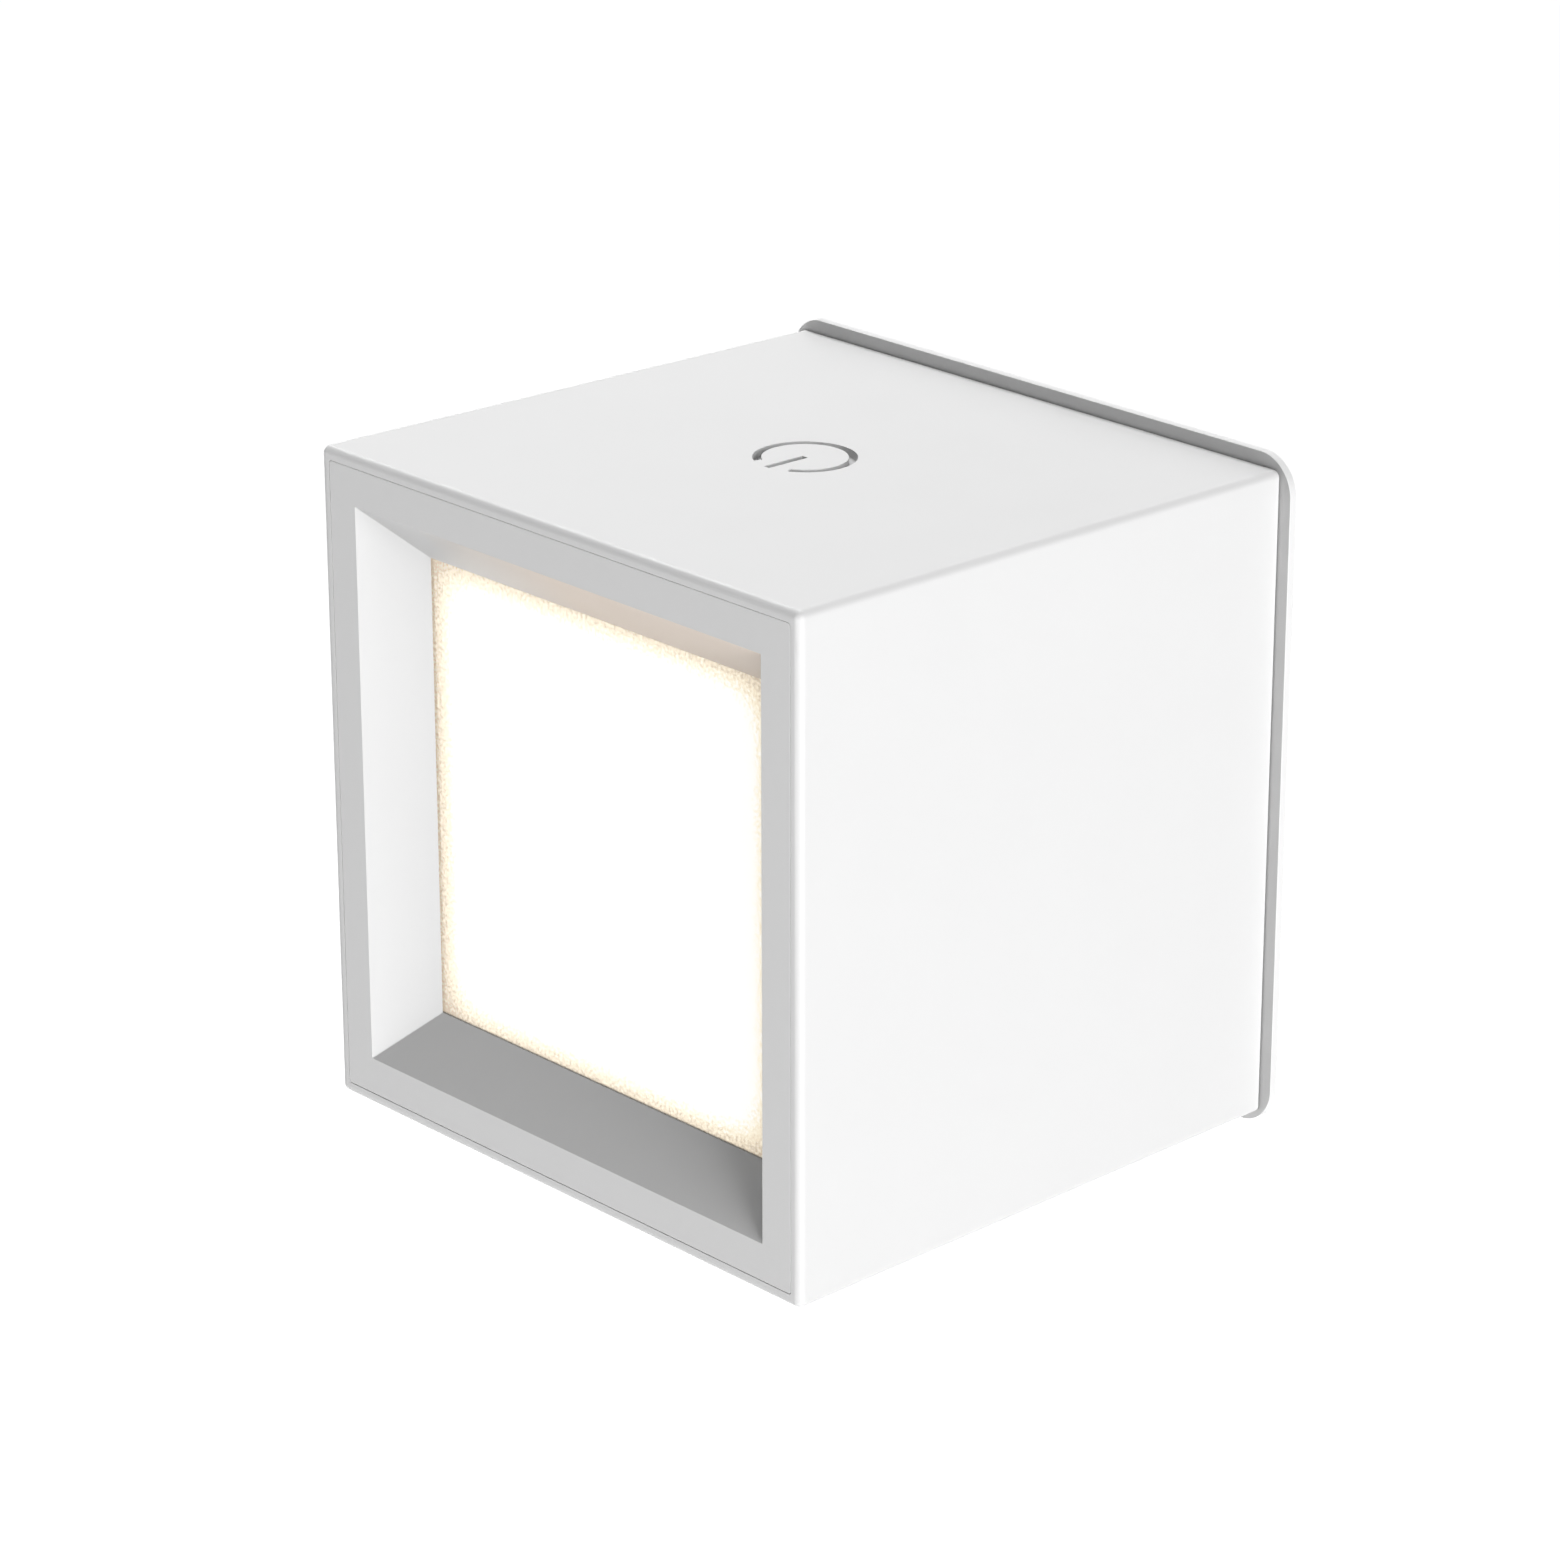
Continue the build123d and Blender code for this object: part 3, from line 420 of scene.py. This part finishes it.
def lit_acrylic():
    """Opal acrylic, lit from behind: white in the middle, warm and finely speckled where it nears the
    frame, and unlit below the window. Its own colour is warmer toward the frame, and darker under the frame's
    lip: painted shade."""
    made = finish("lit_opal_acrylic", ("#F1EDE6", "#F5F2EC"), 8, (0.34, 0.42), 0.6, 0.003, IOR=1.49)
    tree = made.node_tree
    skin = tree.nodes["skin"]
    place = add(tree, "ShaderNodeTexCoord").outputs["Object"]
    height = add(tree, "ShaderNodeSeparateXYZ", {0: place}).outputs["Z"]
    shown = add(tree, "ShaderNodeMath", {0: height, 1: -window_half * mm}, operation="GREATER_THAN")
    strength = add(tree, "ShaderNodeMath", {0: shown, 1: glow_strength}, operation="MULTIPLY")
    moved = add(tree, "ShaderNodeVectorMath", {0: place, 1: Vector(glow_centre) * mm}, operation="SUBTRACT")
    away = add(tree, "ShaderNodeVectorMath", {0: moved}, operation="ABSOLUTE")
    away = add(tree, "ShaderNodeSeparateXYZ", {0: away})
    ring = add(tree, "ShaderNodeMath", {
        0: away.outputs["X"], 1: away.outputs["Z"], 2: glow_corner * mm,
    }, operation="SMOOTH_MAX")
    inward = add(tree, "ShaderNodeMath", {
        0: ring, 1: -1 / mm, 2: window_half - speckle_reach / 2,
    }, operation="MULTIPLY_ADD")
    grains = add(tree, "ShaderNodeTexNoise", {
        "Vector": place, "Scale": 1 / (speckle_size * mm), "Detail": 1.0,
    })
    scatter = add(tree, "ShaderNodeMath", {
        0: grains, 1: speckle_reach, 2: inward,
    }, operation="MULTIPLY_ADD")
    # The glow's stops set the emission, and the panel's stops, with their painted shade under the lip, set
    # its colour
    for socket, stops in (("Emission Color", glow_stops), ("Base Color", panel_shade_stops)):
        first, last = stops[0][0], stops[-1][0]
        share = add(tree, "ShaderNodeMapRange", {"Value": scatter, "From Min": first, "From Max": last})
        ramp = add(tree, "ShaderNodeValToRGB", {0: share})
        points = ramp.color_ramp.elements
        while len(points) < len(stops):
            points.new(0.5)
        for point, (depth, code) in zip(points, stops):
            point.position = (depth - first) / (last - first)
            point.color = linear(code)
        tree.links.new(ramp.outputs[0], skin.inputs[socket])
    tree.links.new(strength.outputs[0], skin.inputs["Emission Strength"])
    return made


def sleeved_cell():
    """A steel cell in a shrink sleeve: satin blue film, with the plated steel bare at both ends."""
    made = finish("shrink_sleeve", ("#2C5F8E", "#356A9A"), 5, (0.3, 0.4), 1.5, 0.01, IOR=1.53)
    tree = made.node_tree
    lowest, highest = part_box("battery_cells")
    bare_from = (highest.x - lowest.x) / 2 - bare_end * mm
    away = add(tree, "ShaderNodeSeparateXYZ", {0: add(tree, "ShaderNodeTexCoord").outputs["Object"]})
    size = add(tree, "ShaderNodeMath", {0: away.outputs["X"]}, operation="ABSOLUTE")
    bare = add(tree, "ShaderNodeMath", {0: size, 1: bare_from}, operation="GREATER_THAN")
    overlay(made, bare, bare_steel)
    tree.links.new(bare.outputs[0], tree.nodes["skin"].inputs["Metallic"])
    return made


def green_mask():
    """Green solder mask on glass epoxy: glossy, with copper tracks showing as paler green lines."""
    made = finish("green_solder_mask", ("#14532F", "#1A5F38"), 6, (0.2, 0.32), 0.6, 0.006, IOR=1.5)
    tree = made.node_tree
    place = add(tree, "ShaderNodeTexCoord").outputs["Object"]
    turned = add(tree, "ShaderNodeMapping", {"Vector": place, "Rotation": (pi / 2, 0, 0)})
    tracks = add(tree, "ShaderNodeTexBrick", {
        "Vector": turned, "Scale": 1.0, "Mortar Size": track_width * mm, "Mortar Smooth": 0.2,
        "Brick Width": track_length * mm, "Row Height": track_pitch * mm,
    })
    overlay(made, tracks.outputs["Fac"], track_green)
    return made


finishes = {
    "white_shell": engraved_abs(),
    "white_bezel": gleam_painted_abs(),
    "opal_panel": lit_acrylic(),
    "plate_coating": powder_coat(),
    "grey_nylon": filled_nylon,
    "zinc_screw": zinc_plate,
    "clear_silicone": clear_silicone,
    "white_silicone": white_silicone,
    "black_rubber": black_rubber,
    "reflector_white": white_polycarbonate,
    "white_board": white_mask,
    "light_package": white_resin,
    "chassis_aluminium": mill_aluminium,
    "cell_sleeve": sleeved_cell(),
    "nickel": nickel_plate,
    "green_board": green_mask(),
    "black_epoxy": moulded_epoxy,
    "white_connector": natural_nylon,
    "black_plastic": black_polymer,
    "socket_steel": stainless_steel,
    "clear_acrylic": clear_acrylic,
    "copper_pad": copper_foil,
    "red_wire": red_pvc,
    "black_wire": black_pvc,
    "white_wire": white_pvc,
    "nickel_magnet": nickel_plate,
}
slots = {name: node.material_slots[0].name for name, node in frame["nodes"].items()}
for name, node in frame["nodes"].items():
    node.material_slots[0].material = finishes[slots[name]]

# The panel throws its light forward: the slopes beside it stay as the studio lights them. The panel's
# gleam on the slope above it is a painted reflection, laid into the frame's colour
for name in ("diffuser", "front_bezel"):
    frame["nodes"][name].visible_diffuse = False
frame["nodes"]["front_bezel"].visible_glossy = False


def solids(name):
    """The separate solids of a CAD node, in the order of its mesh: the corners of each."""
    shape = bmesh.new()
    shape.from_mesh(frame["nodes"][name].data)
    bmesh.ops.remove_doubles(shape, verts=shape.verts, dist=weld)
    waiting = set(shape.verts)
    found = []
    for start in shape.verts:
        if start not in waiting:
            continue
        waiting.remove(start)
        edge = [start]
        points = []
        while edge:
            point = edge.pop()
            points.append(point.co.copy())
            near = {link.other_vert(point) for link in point.link_edges} & waiting
            waiting -= near
            edge.extend(near)
        found.append(points)
    shape.free()
    return found


def middle(points):
    """The centre of a solid's box, and half of its sizes."""
    lowest = Vector([min(point[axis] for point in points) for axis in range(3)])
    highest = Vector([max(point[axis] for point in points) for axis in range(3)])
    return (lowest + highest) / 2, (highest - lowest) / 2


def new_tree(name, sizes):
    """A geometry tree with a named input for each size: itself, its inputs and where its shape goes."""
    tree = bpy.data.node_groups.new(name, "GeometryNodeTree")
    tree.interface.new_socket("Points", in_out="INPUT", socket_type="NodeSocketGeometry")
    for size, kind in sizes.items():
        tree.interface.new_socket(size, in_out="INPUT", socket_type=kind)
    tree.interface.new_socket("Shape", in_out="OUTPUT", socket_type="NodeSocketGeometry")
    return tree, add(tree, "NodeGroupInput").outputs


def close_tree(tree, shape, look):
    """Ends a tree: its instances become a mesh of one material."""
    real = add(tree, "GeometryNodeRealizeInstances", {0: shape})
    dressed = add(tree, "GeometryNodeSetMaterial", {"Geometry": real, "Material": look})
    add(tree, "NodeGroupOutput", {0: dressed})


def settle(made):
    """Turns what an object's modifiers make of it into its plain mesh."""
    mesh = bpy.data.meshes.new_from_object(made.evaluated_get(bpy.context.evaluated_depsgraph_get()))
    made.modifiers.clear()
    made.data = mesh
    return mesh


def grow(name, tree, points, sizes, node):
    """Runs a tree on points and keeps the result as a plain mesh that rides with a CAD node."""
    seeds = bpy.data.meshes.new(name)
    seeds.from_pydata(points, [], [])
    made = bpy.data.objects.new(name, seeds)
    modifier = made.modifiers.new("shape", "NODES")
    modifier.node_group = tree
    for socket in tree.interface.items_tree:
        if socket.in_out == "INPUT" and socket.name in sizes:
            modifier[socket.identifier] = sizes[socket.name]
    collection.objects.link(made)
    mesh = settle(made)
    mesh.shade_smooth()
    mesh.set_sharp_from_angle(angle=radians(grown_edge))
    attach(made, frame["nodes"][node]["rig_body"])
    return made


def screw_tree():
    """A cross-head screw with a rolled thread, upright, its head's top on each point."""
    tree, size = new_tree("cross_head_screw", {
        "Core Radius": "NodeSocketFloat",
        "Core Length": "NodeSocketFloat",
        "Core Place": "NodeSocketVector",
        "Thread Crest": "NodeSocketFloat",
        "Thread Turns": "NodeSocketFloat",
        "Thread Length": "NodeSocketFloat",
        "Thread Place": "NodeSocketVector",
        "Head Radius": "NodeSocketFloat",
        "Head Height": "NodeSocketFloat",
        "Head Place": "NodeSocketVector",
        "Dome Size": "NodeSocketVector",
        "Dome Place": "NodeSocketVector",
        "First Slot": "NodeSocketVector",
        "Second Slot": "NodeSocketVector",
        "Turn": "NodeSocketVector",
    })
    core = add(tree, "GeometryNodeMeshCylinder", {
        "Vertices": 20, "Radius": size["Core Radius"], "Depth": size["Core Length"],
    })
    core = add(tree, "GeometryNodeTransform", {"Geometry": core, "Translation": size["Core Place"]})
    helix = add(tree, "GeometryNodeCurveSpiral", {
        "Resolution": 18,
        "Rotations": size["Thread Turns"],
        "Start Radius": size["Core Radius"],
        "End Radius": size["Core Radius"],
        "Height": size["Thread Length"],
    })
    ridge = add(tree, "GeometryNodeCurvePrimitiveCircle", {"Resolution": 4, "Radius": size["Thread Crest"]})
    thread = add(tree, "GeometryNodeCurveToMesh", {"Curve": helix, "Profile Curve": ridge, "Fill Caps": True})
    thread = add(tree, "GeometryNodeTransform", {"Geometry": thread, "Translation": size["Thread Place"]})
    drum = add(tree, "GeometryNodeMeshCylinder", {
        "Vertices": 40, "Radius": size["Head Radius"], "Depth": size["Head Height"],
    })
    drum = add(tree, "GeometryNodeTransform", {"Geometry": drum, "Translation": size["Head Place"]})
    dome = add(tree, "GeometryNodeMeshUVSphere", {"Segments": 40, "Rings": 24, "Radius": 1.0})
    dome = add(tree, "GeometryNodeTransform", {
        "Geometry": dome, "Translation": size["Dome Place"], "Scale": size["Dome Size"],
    })
    head = add(tree, "GeometryNodeMeshBoolean", {1: [drum, dome]}, operation="INTERSECT")
    bars = [add(tree, "GeometryNodeMeshCube", {"Size": size[name]}) for name in ("First Slot", "Second Slot")]
    head = add(tree, "GeometryNodeMeshBoolean", {0: head, 1: bars}, operation="DIFFERENCE")
    screw = add(tree, "GeometryNodeJoinGeometry", {0: [core, thread, head]})
    placed = add(tree, "GeometryNodeInstanceOnPoints", {
        "Points": size["Points"], "Instance": screw, "Rotation": size["Turn"],
    })
    close_tree(tree, placed, zinc_plate)
    return tree


def measured(points):
    """A plain screw's sizes, rounded (its length, the way it faces, its head's height and radius, and its
    thread's radius), and where the top of its head is."""
    centre, half = middle(points)
    away = [((point.x - centre.x) ** 2 + (point.z - centre.z) ** 2) ** 0.5 for point in points]
    radii = {
        side: max(
            radius for point, radius in zip(points, away)
            if side * (point.y - centre.y) > half.y - end_reach * mm
        )
        for side in (-1, 1)
    }
    facing = max(radii, key=radii.get)
    head = Vector((centre.x, centre.y + facing * half.y, centre.z))
    height = max(
        abs(point.y - head.y) for point, radius in zip(points, away)
        if radius > radii[facing] - side_reach * mm
    )
    sizes = (2 * half.y, facing, height, radii[facing], radii[-facing])
    return tuple(round(size, 6) for size in sizes), head


def screws(node, tree):
    """Screws in place of a CAD node's plain ones, one mesh for each set of sizes."""
    batches = {}
    for points in solids(node):
        key, head = measured(points)
        batches.setdefault(key, []).append(head)
    for number, (key, heads) in enumerate(sorted(batches.items())):
        length, facing, height, head_radius, thread_radius = key
        name = "threaded_" + node + ("" if len(batches) == 1 else f"_{number + 1}")
        pitch = screw_pitch * mm
        crest = thread_height * pitch
        core = thread_radius - thread_sink * crest
        shank = length - height
        dome = Vector((dome_across * head_radius, dome_across * head_radius, dome_along * height))
        bar, slot, deep = slot_length * head_radius, slot_width * head_radius, slot_depth * height
        made = grow(name, tree, heads, {
            "Core Radius": core,
            "Core Length": shank,
            "Core Place": (0, 0, shank / 2 - length),
            "Thread Crest": crest,
            "Thread Turns": (shank - 2 * crest) / pitch,
            "Thread Length": shank - 2 * crest,
            "Thread Place": (0, 0, crest - length),
            "Head Radius": head_radius,
            "Head Height": height,
            "Head Place": (0, 0, -height / 2),
            "Dome Size": dome,
            "Dome Place": (0, 0, -dome.z),
            "First Slot": (bar, slot, deep),
            "Second Slot": (slot, bar, deep),
            "Turn": (-facing * pi / 2, 0, 0),
        }, node)
        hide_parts(node)


cross_head = screw_tree()
for name in (
    "locator_screws",
    "led_board_screws",
    "bezel_screws",
    "rear_screws",
    "battery_screws",
    "board_screws",
):
    screws(name, cross_head)


def grip_pads():
    """Rubber discs with concentric ribs on the side that meets the wall plate."""
    tree, size = new_tree("ribbed_pad", {
        "Disc Radius": "NodeSocketFloat",
        "Disc Thickness": "NodeSocketFloat",
        "Disc Place": "NodeSocketVector",
        "Ribs": "NodeSocketInt",
        "First Rib": "NodeSocketFloat",
        "Rib Step": "NodeSocketFloat",
        "Rib Height": "NodeSocketFloat",
        "Rib Place": "NodeSocketVector",
    })
    disc = add(tree, "GeometryNodeMeshCylinder", {
        "Vertices": 64, "Radius": size["Disc Radius"], "Depth": size["Disc Thickness"],
    })
    disc = add(tree, "GeometryNodeTransform", {"Geometry": disc, "Translation": size["Disc Place"]})
    line = add(tree, "GeometryNodeMeshLine", {"Count": size["Ribs"], "Offset": (0, 0, 0)})
    circle = add(tree, "GeometryNodeCurvePrimitiveCircle", {"Resolution": 64, "Radius": 1.0})
    reach = add(tree, "ShaderNodeMath", {
        0: add(tree, "GeometryNodeInputIndex"), 1: size["Rib Step"], 2: size["First Rib"],
    }, operation="MULTIPLY_ADD")
    rings = add(tree, "GeometryNodeInstanceOnPoints", {"Points": line, "Instance": circle, "Scale": reach})
    rings = add(tree, "GeometryNodeRealizeInstances", {0: rings})
    profile = add(tree, "GeometryNodeCurvePrimitiveCircle", {"Resolution": 10, "Radius": size["Rib Height"]})
    ribs = add(tree, "GeometryNodeCurveToMesh", {"Curve": rings, "Profile Curve": profile})
    ribs = add(tree, "GeometryNodeTransform", {"Geometry": ribs, "Translation": size["Rib Place"]})
    pad = add(tree, "GeometryNodeJoinGeometry", {0: [disc, ribs]})
    placed = add(tree, "GeometryNodeInstanceOnPoints", {
        "Points": size["Points"], "Instance": pad, "Rotation": (-pi / 2, 0, 0),
    })
    close_tree(tree, placed, black_rubber)
    places = [middle(points) for points in solids("grip_pads")]
    half = places[0][1]
    step = half.x / pad_ribs
    thickness = 2 * half.y - pad_rib_height * mm
    made = grow("ribbed_grip_pads", tree, [centre - Vector((0, half.y, 0)) for centre, _ in places], {
        "Disc Radius": half.x,
        "Disc Thickness": thickness,
        "Disc Place": (0, 0, thickness / 2),
        "Ribs": pad_ribs,
        "First Rib": pad_first_rib * step,
        "Rib Step": step,
        "Rib Height": pad_rib_height * mm,
        "Rib Place": (0, 0, thickness),
    }, "grip_pads")
    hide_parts("grip_pads")


grip_pads()


def light_windows():
    """The phosphor window of each light package: a flat dome on its front."""
    tree, size = new_tree("phosphor_window", {"Window Size": "NodeSocketVector"})
    dome = add(tree, "GeometryNodeMeshUVSphere", {"Segments": 24, "Rings": 10, "Radius": 0.5})
    placed = add(tree, "GeometryNodeInstanceOnPoints", {
        "Points": size["Points"], "Instance": dome, "Scale": size["Window Size"],
    })
    close_tree(tree, placed, phosphor)
    places = [middle(points) for points in solids("led_packages")]
    half = places[0][1]
    grow("phosphor_windows", tree, [centre - Vector((0, half.y, 0)) for centre, _ in places], {
        "Window Size": (2 * light_window * half.x, light_window_dome * mm, 2 * light_window * half.z),
    }, "led_packages")


light_windows()


def socket_contacts():
    """Gold contacts along both faces of the charging socket's tongue."""
    tree, size = new_tree("contact_strips", {"Strip Size": "NodeSocketVector"})
    strip = add(tree, "GeometryNodeMeshCube", {"Size": size["Strip Size"]})
    placed = add(tree, "GeometryNodeInstanceOnPoints", {"Points": size["Points"], "Instance": strip})
    close_tree(tree, placed, gold_plate)
    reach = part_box("usb_tongue")[0].z + mouth_reach * mm
    centre, half = middle([point for point in solids("usb_tongue")[0] if point.z < reach])
    length = contact_length * mm
    first = -(contacts_per_side - 1) / 2
    height = centre.z + contact_setback * mm + length / 2
    spots = [
        Vector(((first + number) * contact_pitch * mm, centre.y + side * half.y, height))
        for number in range(contacts_per_side)
        for side in (-1, 1)
    ]
    grow("socket_contacts", tree, spots, {
        "Strip Size": (contact_width * mm, contact_depth * mm, length),
    }, "usb_tongue")


socket_contacts()


def charging_cover():
    """The silicone cover in one piece: its fixed end, its flap and the thin web between them."""
    shape = bmesh.new()
    for name in ("port_cover", "port_cover_tail"):
        shape.from_mesh(frame["nodes"][name].data)
    bmesh.ops.remove_doubles(shape, verts=shape.verts, dist=weld)
    tail_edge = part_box("port_cover_tail")[1].x
    low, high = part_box("port_cover")
    sink = web_sink * mm
    width = low.x - tail_edge + 2 * sink
    size = Vector((width, high.y - low.y - 2 * sink, web_thickness * mm))
    place = Vector(((low.x + tail_edge) / 2, (low.y + high.y) / 2, low.z + size.z / 2))
    placed = Matrix.Translation(place) @ Matrix.Diagonal((*size, 1))
    web = set(bmesh.ops.create_cube(shape, size=1.0, matrix=placed)["verts"])
    along = [
        edge for edge in shape.edges
        if web.issuperset(edge.verts) and abs(edge.verts[0].co.x - edge.verts[1].co.x) > width / 2
    ]
    bmesh.ops.subdivide_edges(shape, edges=along, cuts=web_cuts)
    mesh = bpy.data.meshes.new("charging_cover")
    shape.to_mesh(mesh)
    shape.free()
    mesh.materials.append(white_silicone)
    mesh.shade_smooth()
    mesh.set_sharp_from_angle(angle=radians(cover_edge))
    made = bpy.data.objects.new("charging_cover", mesh)
    collection.objects.link(made)
    flats = made.modifiers.new("flat_faces", "WEIGHTED_NORMAL")
    flats.keep_sharp = True
    settle(made)
    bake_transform(made)
    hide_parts("port_cover", "port_cover_tail")


charging_cover()


def studio_lamp(name, azimuth, elevation, size, light):
    """A square soft studio lamp, aimed at the middle of the part. Azimuth 0 is in front of it, and 90
    on its right."""
    data = bpy.data.lights.new(name, "AREA")
    data.size = size
    data.energy = light * pi ** 2 * lamp_distance ** 2
    made = bpy.data.objects.new(name, data)
    turn = Matrix.Rotation(radians(azimuth), 4, "Z") @ Matrix.Rotation(radians(90 - elevation), 4, "X")
    centre = (cad_box[0] + cad_box[1]) / 2
    made.matrix_world = Matrix.Translation(centre) @ turn @ Matrix.Translation((0, 0, lamp_distance))
    made.visible_camera = False
    collection.objects.link(made)


for name, values in lamps.items():
    studio_lamp(name, *values)


def seen_directly(tree):
    """1 where the camera, a reflection or a clear piece shows the background, else 0."""
    path = add(tree, "ShaderNodeLightPath").outputs
    either = add(tree, "ShaderNodeMath", {
        0: path["Is Camera Ray"], 1: path["Is Glossy Ray"],
    }, operation="MAXIMUM")
    return add(tree, "ShaderNodeMath", {0: either, 1: path["Is Transmission Ray"]}, operation="MAXIMUM")


def studio_floor():
    """A plain pale floor below the light, which glows only where it is seen."""
    shape = bmesh.new()
    place = Matrix.Translation((0, 0, floor_height))
    bmesh.ops.create_grid(shape, x_segments=1, y_segments=1, size=floor_size / 2, matrix=place)
    mesh = bpy.data.meshes.new("studio_floor")
    shape.to_mesh(mesh)
    shape.free()
    look = bpy.data.materials.new("pale_floor")
    look.use_nodes = True
    tree = look.node_tree
    tree.nodes.clear()
    paint = add(tree, "ShaderNodeBsdfDiffuse", {"Color": linear("#CCCCCC")})
    level = add(tree, "ShaderNodeMath", {0: seen_directly(tree), 1: floor_glow}, operation="MULTIPLY")
    glow = add(tree, "ShaderNodeEmission", {"Color": linear("#FFFFFF"), "Strength": level})
    both = add(tree, "ShaderNodeAddShader", {0: paint, 1: glow})
    add(tree, "ShaderNodeOutputMaterial", {"Surface": both})
    mesh.materials.append(look)
    made = bpy.data.objects.new("studio_floor", mesh)
    collection.objects.link(made)


studio_floor()


def studio_room():
    """The room beyond the floor: white where it is seen, and dim as a light."""
    world = bpy.data.worlds.new("studio")
    bpy.context.scene.world = world
    world.use_nodes = True
    tree = world.node_tree
    tree.nodes.clear()
    room = add(tree, "ShaderNodeBackground", {"Color": linear("#FFFFFF"), "Strength": room_light})
    backdrop = add(tree, "ShaderNodeBackground", {"Color": linear("#FFFFFF"), "Strength": 1.0})
    mix = add(tree, "ShaderNodeMixShader", {0: seen_directly(tree), 1: room, 2: backdrop})
    add(tree, "ShaderNodeOutputWorld", {"Surface": mix})


studio_room()


def photo_camera():
    """The camera, where the photograph was taken from."""
    data = bpy.data.cameras.new("camera")
    data.lens = camera_lens
    data.sensor_width = camera_sensor
    made = bpy.data.objects.new("camera", data)
    turn = (
        Matrix.Rotation(radians(camera_azimuth), 4, "Z")
        @ Matrix.Rotation(radians(90 - camera_elevation), 4, "X")
        @ Matrix.Rotation(radians(camera_roll), 4, "Z")
    )
    made.matrix_world = Matrix.Translation(camera_place) @ turn
    collection.objects.link(made)
    bpy.context.scene.camera = made
    bpy.context.scene.view_settings.view_transform = "Standard"


photo_camera()
